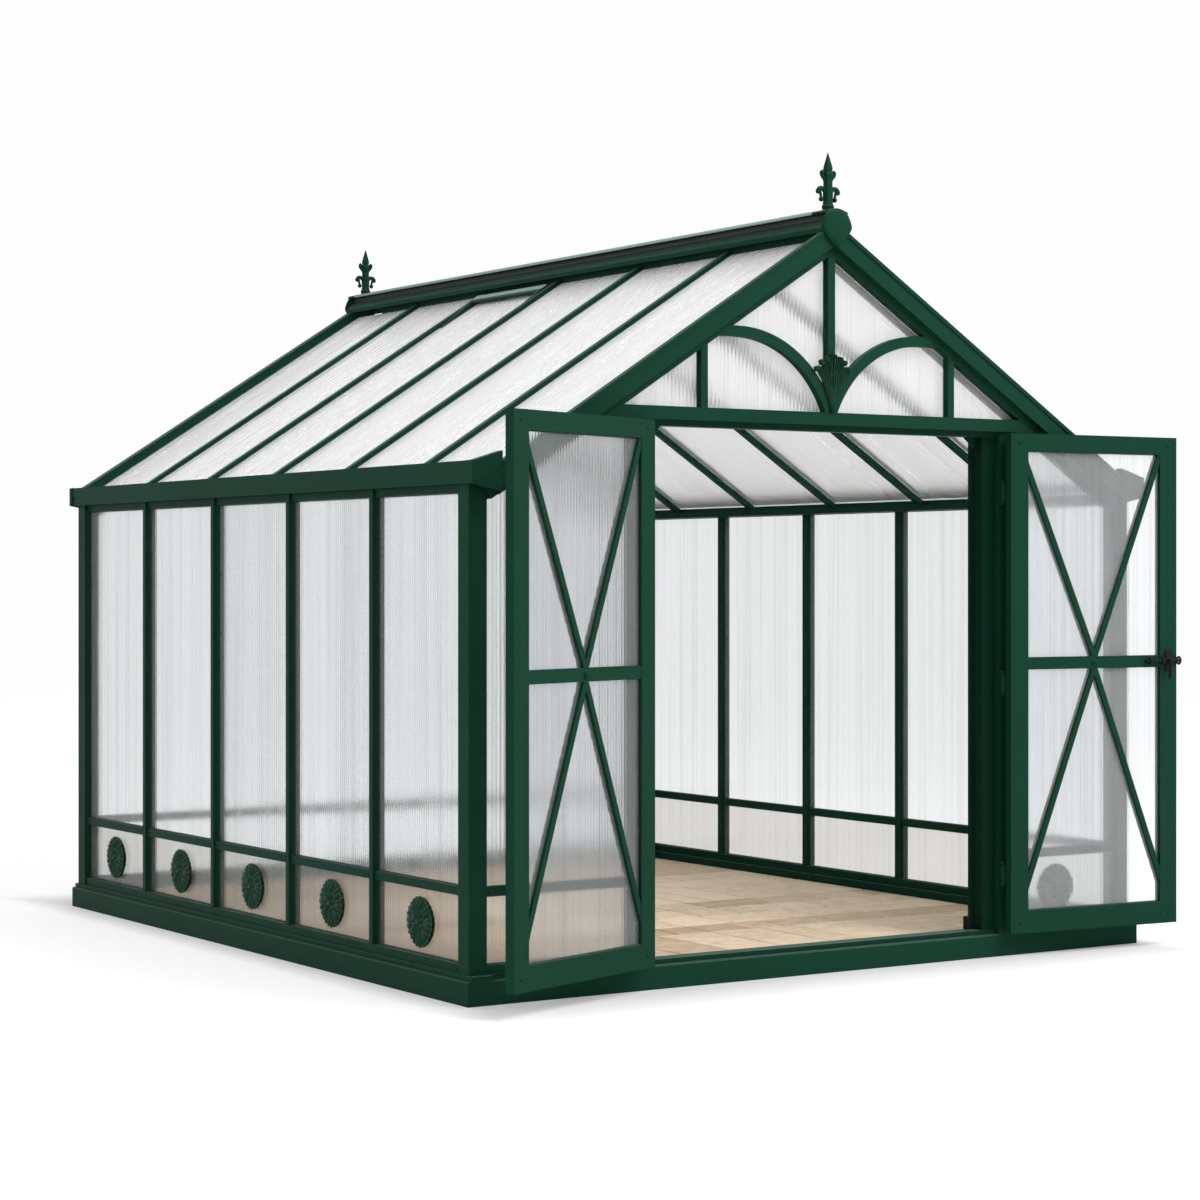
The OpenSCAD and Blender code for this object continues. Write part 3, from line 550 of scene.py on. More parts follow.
# ---- pieces and the operators that make them
class GARDENHOUSE_OT_paint(bpy.types.Operator):
    """Mix the paints and coat the frame members"""

    bl_idname = "gardenhouse.paint"
    bl_label = "Paint the frame"

    def execute(self, context):
        finish = context.scene.garden_finish
        green, cast = finish.frame_green, finish.cast_green
        coat = coat_group()
        coated("frame coat", coat, green, dust_and_sheen=0.35)
        coated("casting coat", coat, cast, dust_and_sheen=0.3, drift=0.4, peel=0.0006)
        coated("black hardware", coat, (0.012, 0.013, 0.014), dust_and_sheen=0.1, peel=0.0004)
        # The jambs get the frame green darkened to 0.55 of it: painted shade from the open leaves.
        coated("jamb coat with painted shade", coat, [0.55 * v for v in green], dust_and_sheen=0.1)
        # Castings with painted light: painted shade in the grooves, painted highlights on the ridges.
        coated("relief coat with painted light", coat, cast, dust_and_sheen=0.15, drift=0.4, relief_painted_light=True)
        # Pale green-grey for the ridge's edge strips and the vent flap: painted highlight.
        coated("ridge highlight coat", coat, (0.25, 0.35, 0.315), dust_and_sheen=0.3)
        _, tree, shader = new_material("black rubber")
        made = use_group(tree, coat, Paint=(0.018, 0.022, 0.021), Dust=0.1, Drift=0.3)
        rough = maths(tree, "ADD", made["Roughness"], 0.3)
        feed(tree, shader, {"Base Color": made["Color"], "Roughness": rough})
        coats = {
            "frame_green": "frame coat",
            "cast_green": "casting coat",
            "black_hardware": "black hardware",
        }
        for row in frame["record"]["subparts"]:
            if row["material_slot"] in coats:
                paint_nodes(coats[row["material_slot"]], row["node"])
        paint_nodes("jamb coat with painted shade", "door_jambs")
        return {"FINISHED"}


def leaf_angle(name):
    """Angle of a leaf's long side from X, seen from above: the direction of most spread."""
    p = node_points(name)[:, :2]
    p = p - p.mean(0)
    _, vec = np.linalg.eigh(p.T @ p)
    return math.atan2(vec[1, -1], vec[0, -1])


class GARDENHOUSE_OT_glaze(bpy.types.Operator):
    """Give the wall, door and roof sheets their fluted finish"""

    bl_idname = "gardenhouse.glaze"
    bl_label = "Glaze the frame"

    def execute(self, context):
        finish = context.scene.garden_finish
        wall, roof = finish.sheet_tint, finish.roof_tint
        # The left leaf's sheet is the wall tint darkened to 0.87: painted shade.
        gable, shade = [0.94 * v for v in roof], [0.87 * v for v in wall]
        depth = math.pi / 2
        left, right = (leaf_angle(name) for name in ("door_left_panel", "door_right_panel"))
        sides, soil = ("panels_left", "panels_right"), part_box("rosettes_left")[1][2] + SPLASH
        flutes = flute_group(finish.flute_pitch)
        for name, nodes, *values in (
            ("side sheet", sides, wall, depth, "Z", 0.92, -0.03, 0.7, 0.42, soil),
            ("end sheet", ("panels_back", "panels_front"), wall, 0.0, "Z", 0.92),
            ("gable sheet", ("gable_panel_front", "gable_panel_back"), gable, 0.0, "Z", 0.82, 0.02),
            ("left leaf sheet with painted shade", ("door_left_panel",), shade, left, "Z", 0.92, 0.0, 0.7, 0.5),
            ("right leaf sheet", ("door_right_panel",), wall, right, "Z", 0.88, 0.02, 0.6),
            ("roof sheet", ("roof_panels_left",), roof, depth, "Y", 0.52, 0.14, 0.06),
            ("clear roof sheet", ("roof_panels_right",), roof, depth, "Y", 0.87, 0.16, 0.06),
        ):
            sheet(name, flutes, *values)
            paint_nodes(name, *nodes)
        return {"FINISHED"}


# depth of each course of stones, its tone and the places of its cuts along X
COURSES = (
    (0.65, 0.60, (-0.45, -0.24, 0.0, 0.23, 0.375, 0.68, 0.98)),
    (0.18, 0.80, (-0.14, 0.0, 0.19, 0.36, 0.61, 0.97)),
    (0.24, 0.12, (-0.30, 0.01, 0.24, 0.66, 0.87, 1.22)),
    (0.21, 0.22, (-0.10, 0.05, 0.25, 0.46, 0.57, 0.70, 0.89, 1.04, 1.18)),
    (0.19, 0.66, (0.0, 0.25, 0.45, 0.77, 1.07, 1.30)),
    (0.49, 0.08, (0.22, 0.46, 0.60, 0.78, 1.09, 1.28)),
    (0.21, -0.12, (0.40, 0.72, 1.03, 1.33)),
    (0.22, 0.36, (0.30, 0.60, 0.93, 1.20)),
)


def course_spans(cuts, low, high, rng):
    """Pairs of neighbouring cuts from low to high; where the given cuts end, more are added at
    seeded widths."""
    while cuts[0] - low > MOST_STONE:
        cuts.insert(0, cuts[0] - rng.uniform(*STONE_WIDTHS))
    while high - cuts[-1] > MOST_STONE:
        cuts.append(cuts[-1] + rng.uniform(*STONE_WIDTHS))
    cuts = [low, *(c for c in cuts if low + LEAST_STONE < c < high - LEAST_STONE), high]
    return list(zip(cuts[:-1], cuts[1:]))


def paving_stone(a, b, top, joint, waver, rng):
    """A stone as rings of one outline: closed under its foot, a wall, a worn shoulder and a
    flat top. The outline is a square of eight points a side that strays by a sum of two sines
    of its run, with seeded phases."""
    a, b = np.array(a), np.array(b)
    mid, half = (a + b) / 2, (b - a) / 2 - joint / 2
    t = np.arange(32) / 32 * 2 * math.pi
    t = t - 0.9 * np.sin(4 * t) / 40
    way = np.stack([np.cos(t), np.sin(t)], -1)
    way = way / np.abs(way).max(1)[:, None]
    phase = rng.uniform(0, 2 * math.pi, 4)
    wave = np.sin(5 * t + phase[0]) * 0.6 + np.sin(9 * t + phase[1]) * 0.4
    half = half - waver * 0.5 * (1 + wave[:, None])
    draw, edge, drop = np.array(
        [(0, 0, 0.008), (1, 0, 0.008), (1, 0, 0.0025), (1, 0.003, 0), (0, 0, 0)]
    ).T[..., None, None]
    flat = mid + way * (half - edge) * draw
    return rings(np.concatenate([flat, top - drop + 0 * flat[..., :1]], -1))


class GARDENHOUSE_OT_floor(bpy.types.Operator):
    """Lay the paving in place of the plain slab"""

    bl_idname = "gardenhouse.floor"
    bl_label = "Lay the paving"

    def execute(self, context):
        finish = context.scene.garden_finish
        sizes = context.scene.garden_floor
        rng = np.random.default_rng(sizes.seed)
        lo, hi = np.array(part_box("floor_deck"))
        parts, tones = [], []
        y, row = lo[1], 0
        while y < hi[1]:
            deep, tone, cuts = COURSES[row % len(COURSES)]
            end = y + deep if hi[1] - y - deep > LEAST_COURSE else hi[1]
            if row >= len(COURSES):
                cuts = [-c for c in cuts]
            for a, b in course_spans(sorted(cuts), lo[0], hi[0], rng):
                parts.append(paving_stone((a, y), (b, end), hi[2], sizes.joint, sizes.waver, rng))
                own = tone + rng.uniform(-0.27, 0.27) - 0.1 * a + 1.2 * max(0.0, -0.35 - b)
                tones.append(float(np.clip(own, -0.2, 1.05)))
            y, row = end, row + 1
        per_stone = len(parts[0][0])
        bed = bar(lo, hi - [0, 0, BED_DEPTH])
        _, tree, shader = new_material("paving")
        made = use_group(
            tree,
            stone_group(),
            Tone=node(tree, "ShaderNodeAttribute", attribute_name="tone").outputs["Fac"],
            Pale=finish.stone_pale,
            Brown=finish.stone_brown,
            Joint=(0.16, 0.11, 0.07),
        )
        shader["Specular IOR Level"].default_value = 0.3
        dress(tree, shader, made, 0.4, 0.002)
        floor = put_mesh("floor_paving", [*parts, bed], "paving", "house", False)
        put_values(floor, "tone", [np.repeat(tones, per_stone), np.full(len(bed[0]), BED_TONE)])
        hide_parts("floor_deck")
        return {"FINISHED"}


def rosette(radius, leaves, relief):
    """Polar grid. The edge has three small scallops to a leaf. Height: an outer ring of cupped
    leaves, every second one longer, that swell to a crest and level out at an even rim, each
    with ribs as a cosine of the place across it; an inner ring half a leaf round with its own
    ribs; and a round boss. The rim turns down to a flat back."""
    cols = leaves * 30
    a = np.linspace(0, 2 * math.pi, cols, endpoint=False)[None, :]
    t = np.concatenate([np.linspace(0, 0.16, 8), np.linspace(0.18, 1, 44)])[:, None]
    scallop = np.abs(np.cos(1.5 * leaves * a))
    long = 0.5 + 0.5 * np.cos(leaves * a / 2)
    edge = radius * (0.962 + 0.038 * scallop**0.8) * (0.97 + 0.03 * long)
    u = (leaves * a / (2 * math.pi) + 0.5) % 1.0 - 0.5
    v = (leaves * a / (2 * math.pi)) % 1.0 - 0.5
    bend = 0.16 * np.sin(2 * math.pi * t)
    cup, cup2 = (np.clip(1 - (2 * w) ** 2, 0, 1) ** 0.55 for w in (u, v))
    out = np.clip((t - 0.30) / 0.70, 0, 1)
    swell = np.sin(math.pi * out**0.8 * 0.86 + 0.12) ** 0.7
    ribs = 0.5 + 0.5 * np.cos(2 * math.pi * 5 * (u + bend * u * 2))
    h1 = (0.30 + 0.42 * swell + 0.10 * long * out) * (0.42 + 0.58 * cup)
    h1 = h1 + 0.2 * ribs * cup**0.5 * np.sin(math.pi * np.clip(out, 0.02, 1))
    ring = 0.07 * np.exp(-(((t - 0.86) / 0.035) ** 2)) * cup
    rim = np.clip((t - 0.78) / 0.18, 0, 1)
    h1 = ((h1 + ring) * (1 - rim) + rim * (0.36 + 0.16 * scallop)) * (t > 0.28)
    inn = np.clip((t - 0.13) / 0.40, 0, 1)
    ribs2 = 0.5 + 0.5 * np.cos(2 * math.pi * 3 * v)
    h2 = (0.52 + 0.34 * np.sin(math.pi * (0.1 + 0.86 * inn))) * (0.35 + 0.65 * cup2)
    h2 = (h2 + 0.15 * ribs2 * cup2 * np.sin(math.pi * inn)) * (t < 0.53)
    boss = np.sqrt(np.clip(1 - (t / 0.14) ** 2, 0, 1)) * 0.42 + 0.66
    boss = (boss - 0.12 * np.exp(-(((t - 0.07) / 0.018) ** 2))) * (t < 0.14) + 0 * a
    h = np.maximum(np.maximum(h1, h2), boss)
    # Painted light on the relief: painted shade in the grooves, painted highlights on the ridges, the middle of
    # the boss and the rim's ribs.
    painted_light = np.where(t < 0.05, 1.0, painted_light_of(h, 3)) * (0.55 + 0.45 * np.clip(h / 0.7, 0, 1))
    painted_light = np.clip(painted_light + 0.4 * (t > 0.93) * (ribs > 0.6), 0, 1)
    h = relief * (0.14 + 0.86 * np.clip(h, 0, 1.1) / 1.1)
    r = np.concatenate([t * edge, edge, 0.985 * edge, 0.95 * edge, 0 * edge])
    h = np.concatenate([h, h[-1:] - 0.0014, h[-1:] * 0.45, 0 * edge, 0 * edge])
    painted_light = np.concatenate([painted_light, np.full((4, cols), 0.3)])
    return rings(np.stack([r * np.cos(a), r * np.sin(a), h], -1)), painted_light


class GARDENHOUSE_OT_rosettes(bpy.types.Operator):
    """Cast the leafy rosettes on the low panes"""

    bl_idname = "gardenhouse.rosettes"
    bl_label = "Cast the rosettes"

    def execute(self, context):
        sizes = context.scene.garden_ornament
        for name, turn in (
            ("rosettes_left", np.array([[0, 0, -1.0], [-1, 0, 0], [0, 1, 0]])),
            ("rosettes_front", np.array([[1.0, 0, 0], [0, 0, -1], [0, 1, 0]])),
        ):
            parts, painted_light = [], []
            for lo, hi in solids_of(name):
                size = hi - lo
                back = (lo + hi) / 2 - turn[:, 2] * abs(turn[:, 2] @ size) / 2
                part, relief_painted_light = rosette(size[2] / 2, sizes.leaves, sizes.relief)
                parts.append(placed(part, turn, back))
                painted_light.append(relief_painted_light)
            piece = put_mesh(name + "_cast", parts, "relief coat with painted light", "house")
            put_values(piece, "painted_light", painted_light)
            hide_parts(name)
        return {"FINISHED"}


def blade(reach, tall, width, lift):
    """One blade: a ring carried up a path. The path swings out as a power of its run; near the
    tip it rolls outwards, by a power of the roll. Across, the front has a raised midrib and two
    ridges, a cosine of the place across; the back is flat."""
    s = np.linspace(0, 1, 56)[:, None]
    lean = np.sign(reach)
    roll = np.clip((s - 0.88) / 0.12, 0, 1)
    x = reach * (0.12 * s + 0.88 * s**1.7) * (0.94 + 0.06 * s) + lean * 0.008 * roll**1.5
    z = tall * np.minimum(s, 0.88) / 0.88 - 0.004 * roll**2 * abs(lean)
    z = z - 0.006 * (1 - abs(lean)) * roll
    out = -0.003 - lift * (0.30 + 0.50 * s**1.4) - 0.005 * np.sin(math.pi * roll)
    way = unit(np.gradient(np.concatenate([x, z], 1), axis=0))
    w = width * (0.50 + 0.50 * np.sin(math.pi * np.clip(0.06 + 0.62 * s, 0, 1)) ** 1.2)
    w = w * (1 + 0.10 * np.cos(2 * math.pi * 5 * s) * np.clip(3 * s - 0.9, 0, 1))
    w = w * (1 - 0.3 * roll**2)
    v = np.concatenate([np.linspace(-1, 1, 25), np.linspace(1, -1, 9)[1:-1]])[None, :]
    front = np.concatenate([np.ones(25), np.zeros(7)])[None, :]
    crown = np.sqrt(np.clip(1 - v**2, 0, 1))
    ridge = 0.5 + 0.5 * np.cos(3 * math.pi * v)
    rise = 0.30 + crown * (0.34 + 0.36 * ridge)
    y = out * rise * front + (1 - front) * out * 0.1
    # Painted light on the blade: painted highlights along the midrib, the ridges and the rolled tip, painted shade
    # between them; the back stays dim.
    painted_light = np.clip(0.05 + 0.62 * crown * ridge**2 + 0.2 * roll, 0, 1) * front
    painted_light = painted_light + 0.1 * (1 - front)
    points = np.stack([x - v * w * way[:, 1:], y, z + v * w * way[:, :1]], -1)
    ends = [points[k].mean(0) + 0 * points[k] for k in (0, -1)]
    points = np.concatenate([ends[:1], points, ends[1:]])
    return rings(points), np.concatenate([painted_light[:1], painted_light, painted_light[-1:]])


class GARDENHOUSE_OT_spray(bpy.types.Operator):
    """Cast the acanthus spray at the foot of the king post"""

    bl_idname = "gardenhouse.spray"
    bl_label = "Cast the leaf spray"

    def execute(self, context):
        lo, hi = np.array(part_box("leaf_ornament"))
        size = hi - lo
        foot = np.array([(lo[0] + hi[0]) / 2, hi[1], lo[2]])
        parts, painted_light = [], []
        for reach, tall, width, lift in (
            (0.0, 1.0, 0.19, 1.0),
            (0.36, 0.92, 0.16, 0.84),
            (0.62, 0.865, 0.155, 0.68),
            (0.88, 0.75, 0.15, 0.5),
        ):
            for side in (1, -1) if reach else (1,):
                (points, faces), relief_painted_light = blade(
                    side * reach * size[0] / 2, tall * size[2], width * size[0] / 2, lift * size[1]
                )
                points = np.clip(points + foot, lo - [0.002, 0.005, 0], hi + [0.002, 0, 0.001])
                parts.append((points, faces))
                painted_light.append(relief_painted_light)
        piece = put_mesh("leaf_spray_cast", parts, "relief coat with painted light", "house")
        put_values(piece, "painted_light", painted_light)
        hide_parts("leaf_ornament")
        return {"FINISHED"}


def finial():
    """A round collar and a shaft of a soft square section, each a lathe, and on each side a
    curl, its stalk and a horn as tubes along smooth curves, each ending in a ball. The tables
    are in millimetres."""
    collar = [
        (0, 0), (23, 0), (24, 1.5), (24, 4.5), (21.5, 7), (19, 9), (20.5, 11), (22.2, 14.5),
        (22.4, 18), (21.4, 22), (19, 25.5), (17.2, 27), (18.2, 28.5), (19.2, 31), (18.4, 33.5),
        (16.5, 35), (0, 35.5),
    ]
    shaft = [
        (0, 33), (13.6, 33), (13.8, 42), (14.4, 52), (14.6, 64), (14.0, 78), (13.2, 92),
        (13.0, 104), (13.8, 114), (15.8, 123), (17.2, 131), (15.6, 138), (11.6, 143),
        (12.6, 148), (13.6, 152.5), (13.2, 158), (10.8, 169), (7.8, 182), (4.7, 195),
        (1.9, 207), (0.6, 213), (0, 214),
    ]
    curl = [(8, 60), (13, 71), (21, 80), (31, 83), (39.5, 79.5), (45, 71), (43.5, 63.5)]
    stalk = [(37, 74), (34.5, 65), (32, 56), (30.5, 46)]
    horn = [
        (8, 104), (12, 112), (17, 119), (23.5, 126), (28.5, 134), (27.5, 142.5), (22.5, 145.5),
    ]
    parts = [
        lathe(np.array(profile) * MM, 48, power, 0.001)
        for profile, power in ((collar, 2.0), (shaft, 7.0))
    ]
    for side in (1, -1):
        for line, radii, flat in (
            (curl, [7, 8.2, 8.4, 8.4, 8.6, 8.6, 6.6], 0.95),
            (stalk, [6.4, 5.4, 4.6, 6.0], 1.0),
            (horn, [6, 7, 7.2, 7, 6.8, 6.2, 4.4], 1.1),
        ):
            path = smooth_curve(np.array(line, float)) * [side * MM, MM]
            run, own = np.linspace(0, 1, len(path)), np.linspace(0, 1, len(radii))
            path = np.insert(path, 1, 0.0, axis=1)
            parts.append(tube(path, np.interp(run, own, radii) * MM, flat))
        parts.append(ball((side * 0.0305, 0, 0.0435), 0.0092))
        parts.append(ball((side * 0.0262, 0, 0.1385), 0.0082, (1, 1.3, 1)))
        parts.append(ball((side * 0.0405, 0, 0.071), 0.0100, (1, 0.8, 1)))
    return parts


class GARDENHOUSE_OT_finials(bpy.types.Operator):
    """Cast the spear finials that stand on the ridge"""

    bl_idname = "gardenhouse.finials"
    bl_label = "Cast the finials"

    def execute(self, context):
        points, faces = join_parts(finial())
        parts = []
        for lo, hi in solids_of("finials"):
            foot = np.append((lo + hi)[:2] / 2, lo[2])
            parts.append((points * [1, 1, (hi[2] - lo[2]) / points[:, 2].max()] + foot, faces))
        piece = put_mesh("finials_cast", parts, "casting coat", "house")
        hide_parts("finials")
        return {"FINISHED"}


def gasket_strip(points, side):
    """A half-round strip round one face of a flat sheet. The sheet's normal is the direction of
    least spread; its outline is the face's corners by their angle round the middle. Each ring
    of the strip is that outline drawn in along the bisector of each corner, and raised."""
    mid = points.mean(0)
    _, vec = np.linalg.eigh((points - mid).T @ (points - mid))
    n, u = vec[:, 0] * side, vec[:, 2]
    v = np.cross(n, u)
    h = (points - mid) @ n
    face = points[h > h.max() - SKIN]
    flat = np.stack([(face - mid) @ u, (face - mid) @ v], -1)
    flat = flat[np.argsort(np.arctan2(flat[:, 1], flat[:, 0]))]
    run = unit(np.roll(flat, -1, 0) - flat)
    flat = flat[np.abs(np.cross(np.roll(run, 1, 0), run)) > 0.01]
    run = unit(np.roll(flat, -1, 0) - flat)
    inward = np.stack([-run[:, 1], run[:, 0]], -1)
    before = np.roll(inward, 1, 0)
    drawn = (inward + before) / (1 + (inward * before).sum(1))[:, None]
    inset = np.array([0.3, 0.8, 2.2, 2.8, 2.8, 0.3, 0.3])[:, None, None] * MM
    rise = np.array([0.2, 1.2, 1.2, 0.3, -1.0, -1.0, 0.2])[:, None, None] * MM
    ring = flat + drawn * inset
    return rings(mid + ring[..., :1] * u + ring[..., 1:] * v + (h.max() + rise) * n)


class GARDENHOUSE_OT_gaskets(bpy.types.Operator):
    """Press the rubber gaskets into the edges of the sheets"""

    bl_idname = "gardenhouse.gaskets"
    bl_label = "Press in the gaskets"

    def execute(self, context):
        walls = ("panels_left", "panels_right", "panels_back", "panels_front")
        for piece, body, names in (
            ("wall_gaskets", "house", walls),
            ("gable_gaskets", "house", ("gable_panel_back",)),
            ("left_leaf_gasket", "door_left", ("door_left_panel",)),
            ("right_leaf_gasket", "door_right", ("door_right_panel",)),
        ):
            strips = [
                gasket_strip(points, side)
                for name in names
                for points in solid_points(name)
                for side in (1, -1)
            ]
            put_mesh(piece, strips, "black rubber", body, False)
        return {"FINISHED"}


def ridge_rod(ring, start, end, side):
    """A ring of points across and up carried along Y from start to end, drawn together at both
    ends so that it closes; side is the sign that keeps its faces outwards."""
    y = np.array([start, start, end, end])[:, None]
    draw = np.array([0, 1, 1, 0])[:, None, None]
    flat = ring.mean(0) + (ring - ring.mean(0)) * draw
    return rings(np.stack([flat[..., 0], y + 0 * flat[..., 0], flat[..., 1]], -1), -side)


def vent_flap():
    """The edge of the vent's flap: a low ring of points that lies on the slope of the roof,
    carried along Y."""
    points = node_points("roof_vent")
    top = points[points[:, 2] > points[:, 2].max() - SKIN].mean(0)
    lo, hi = points.min(0), points.max(0)
    across = np.array([5, 6, 31, 32, 32, 31, 6, 5]) * MM
    over = np.array([2.5, 4, 4, 2.5, 1.5, 0.5, 0.5, 1.5]) * MM
    ring = np.stack([top[0] - across, top[2] + over - math.tan(ROOF_PITCH) * across], -1)
    return ridge_rod(ring, lo[1] + MM, hi[1] - MM, -1)


def ridge_end_plates():
    """Hood-shaped plates: one outline, a smooth curve through half-widths that grow from a
    round top to the shoulders and close in a blunt point, is drawn in over a wide rounded
    bevel."""
    half = np.array([
        (0, 67), (16, 65), (31, 60), (43, 51), (52, 39), (59, 25), (64, 11), (66, 1), (63, -10),
        (56, -22), (47, -34), (36, -46), (24, -57), (12, -66), (0, -71),
    ])
    hood = np.concatenate([half, half[-2:0:-1] * [-1, 1]])
    curve = smooth_curve(np.concatenate([hood[-2:], hood, hood[:3]]), 400)
    turns = np.arctan2(curve[:, 0], curve[:, 1])
    spots = np.linspace(-math.pi, math.pi, 96, endpoint=False)
    far = np.interp(spots, turns, np.hypot(*curve.T), period=2 * math.pi)
    way = np.stack([np.sin(spots), np.cos(spots)], -1)
    draw, inset, run = np.array([
        (0, 0, 0), (1, 1.2, 0), (1, 0, 0.12), (1, 0, 0.30), (1, 0.9, 0.52), (1, 3.2, 0.74),
        (1, 6.0, 0.86), (1, 7.4, 0.84), (1, 8.8, 0.88), (1, 11.0, 0.97), (1, 15.0, 1.0),
        (0, 0, 1.0),
    ]).T[..., None]
    flat = way * ((far - inset) * draw * MM)[..., None]
    parts = []
    for lo, hi in solids_of("ridge_ends"):
        out = -1 if lo[1] < 0 else 1
        back, front = (lo[1], hi[1])[::out]
        x = (lo[0] + hi[0]) / 2 + flat[..., 0]
        z = lo[2] + 0.0705 + flat[..., 1]
        parts.append(rings(np.stack([x, back + (front - back) * run + 0 * x, z], -1), out))
    return parts


class GARDENHOUSE_OT_ridge(bpy.types.Operator):
    """Fit the end plates, black strips in the cap's recess as painted shade, pale strips along the cap's edges as
    painted highlights, and the flap of the roof vent in the same pale coat as painted highlight
    """

    bl_idname = "gardenhouse.ridge"
    bl_label = "Trim the ridge"

    def execute(self, context):
        lo, hi = np.array(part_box("ridge_cap"))
        # Black strips in the recess under the cap's top plate: painted shade.
        recess_shade = [
            (24, -33), (26.5, -32.4), (28.5, -28), (27, -21), (28.5, -14), (26.5, -11), (24, -10.4),
        ]
        # Pale strips along the edges of the cap's top plate: painted highlight.
        strip = [
            (51, -12.5), (55.6, -12.5), (57, -11.2), (57.4, -7), (56.6, -2.2), (53, -0.4),
            (50, -0.6),
        ]
        for name, ring, inset, coat, slot in (
            ("ridge_recess_shade", recess_shade, 0.002, "black rubber", "black_hardware"),
            ("ridge_highlight_strips", strip, 0.07, "ridge highlight coat", "frame_green"),
        ):
            ring = np.array(ring) * MM + [0, hi[2]]
            parts = [
                ridge_rod(ring * [side, 1], lo[1] + inset, hi[1] - inset, side) for side in (1, -1)
            ]
            put_mesh(name, parts, coat, "house")
        piece = put_mesh(
            "ridge_end_plates", ridge_end_plates(), "casting coat", "house"
        )
        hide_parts("ridge_ends")
        # The vent flap's edge in the pale coat: painted highlight.
        put_mesh("vent_flap", [vent_flap()], "ridge highlight coat", "house", False)
        return {"FINISHED"}


def put_screws(name, body, places, normals, radius):
    """Pan-head screws: a low dome with a dished middle turned round Z, then each copy is turned
    so that Z is its normal, all in one array product."""
    profile = [
        (0, -0.001), (1.0, -0.001), (1.02, 0.16), (0.9, 0.42), (0.62, 0.6), (0.34, 0.62),
        (0.26, 0.4), (0, 0.38),
    ]
    p, f = lathe(np.array(profile) * radius, 12)
    n = np.asarray(normals, float)
    x = unit(np.cross(UP, n))
    turn = np.stack([x, np.cross(n, x), n], -1)
    points = np.einsum("kij,mj->kmi", turn, p) + np.asarray(places)[:, None]
    put_mesh(name, [(p, f) for p in points], "casting coat", body)


def wall_screws():
    """Two screws near the ends of each rail, on its outer face."""
    places, normals = [], []
    for name, axis, out in (
        ("rails_left", 0, -1),
        ("rails_right", 0, 1),
        ("rails_back", 1, 1),
        ("rails_front", 1, -1),
    ):
        along = 1 - axis
        for lo, hi in solids_of(name):
            if hi[2] - lo[2] > RAIL or hi[along] - lo[along] < RAIL:
                continue
            for end in (lo[along] + SCREW_INSET, hi[along] - SCREW_INSET):
                spot = (lo + hi) / 2
                spot[along] = end
                spot[axis] = hi[axis] if out > 0 else lo[axis]
                places.append(spot)
                normals.append(np.eye(3)[axis] * out)
    put_screws("frame_screws", "house", places, normals, 0.0055)


def leaf_frame(leaf):
    """A leaf's frame corners and its own directions: along from the pin to the free edge, and
    the normal of the face towards the front."""
    p = node_points(leaf + "_frame")
    off = p - p.mean(0)
    _, vec = np.linalg.eigh(off[:, :2].T @ off[:, :2])
    along = np.append(vec[:, 1], 0)
    along = along * np.sign((p.mean(0) - PINS[leaf]) @ along)
    n = np.array([along[1], -along[0], 0])
    return p, along, -n if n[1] > 0 else n


def leaf_screws(leaf):
    """A screw at each corner of a leaf's frame and one where its braces cross."""
    p, along, n = leaf_frame(leaf)
    panel, brace = node_points(leaf + "_panel"), node_points(leaf + "_braces")

    def midway(way):
        """Places halfway between the frame's edge and the panel's, at both ends."""
        q, r = p @ way, panel @ way
        return (q.min() + r.min()) / 2, (q.max() + r.max()) / 2

    front = n * ((p @ n).max() - 0.0002)
    places = [along * run + front + UP * z for run in midway(along) for z in midway(UP)]
    top = (brace @ n).max()
    centre = brace[brace @ n > top - SKIN].mean(0)
    places.append(along * (centre @ along) + n * top + UP * centre[2])
    put_screws(leaf + "_screws", leaf, places, [n] * len(places), 0.006)


def lever_latch():
    """A lever latch, in the leaf's own directions from its free edge: a back plate, a bolt in
    two guides, a lever as a tube along a smooth curve with a ball at its root, and a staple as
    a tube round a flat ring."""
    p, along, n = leaf_frame("door_right")
    lo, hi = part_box("door_latch")
    middle = (lo[2] + hi[2]) / 2 + 0.012
    base = along * ((p @ along).max() - 0.0075) + n * (p @ n).max() + UP * middle
    parts = [
        latch_plate((-0.052, 0.0, -0.040), (-0.016, 0.005, 0.044)),
        latch_plate((-0.150, 0.004, -0.006), (0.020, 0.014, 0.006)),
    ]
    for x in (-0.128, -0.066):
        parts.append(latch_plate((x - 0.006, 0.0, -0.012), (x + 0.006, 0.018, 0.012)))
    lever = np.array([
        (-44, 16, 2), (-46, 28, 4), (-46, 33, -2), (-47, 34, -20), (-48, 33, -44),
        (-49, 30, -62), (-49, 28, -70),
    ]) * MM
    radii = np.interp(np.linspace(0, 1, 24), [0, 0.3, 0.7, 1], [0.008, 0.0065, 0.0075, 0.005])
    parts.append(tube(smooth_curve(lever, 24), radii, sides=14, normal=(1, 0, 0)))
    parts.append(ball((-0.044, 0.014, 0.002), 0.013, (1, 0.7, 1)))
    eye = np.linspace(-0.98 * math.pi, 0.98 * math.pi, 28)
    ring = np.stack([11 + 9 * np.cos(eye), 9 + 0 * eye, 13 * np.sin(eye)], -1) * MM
    parts.append(tube(ring, np.full(28, 0.0045), sides=10))
    turn = np.stack([along, n, UP], -1)
    out = -1 if np.linalg.det(turn) < 0 else 1
    parts = [placed(part, turn, base, out) for part in parts]
    piece = put_mesh("lever_latch", parts, "black hardware", "door_right")
    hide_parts("door_latch")


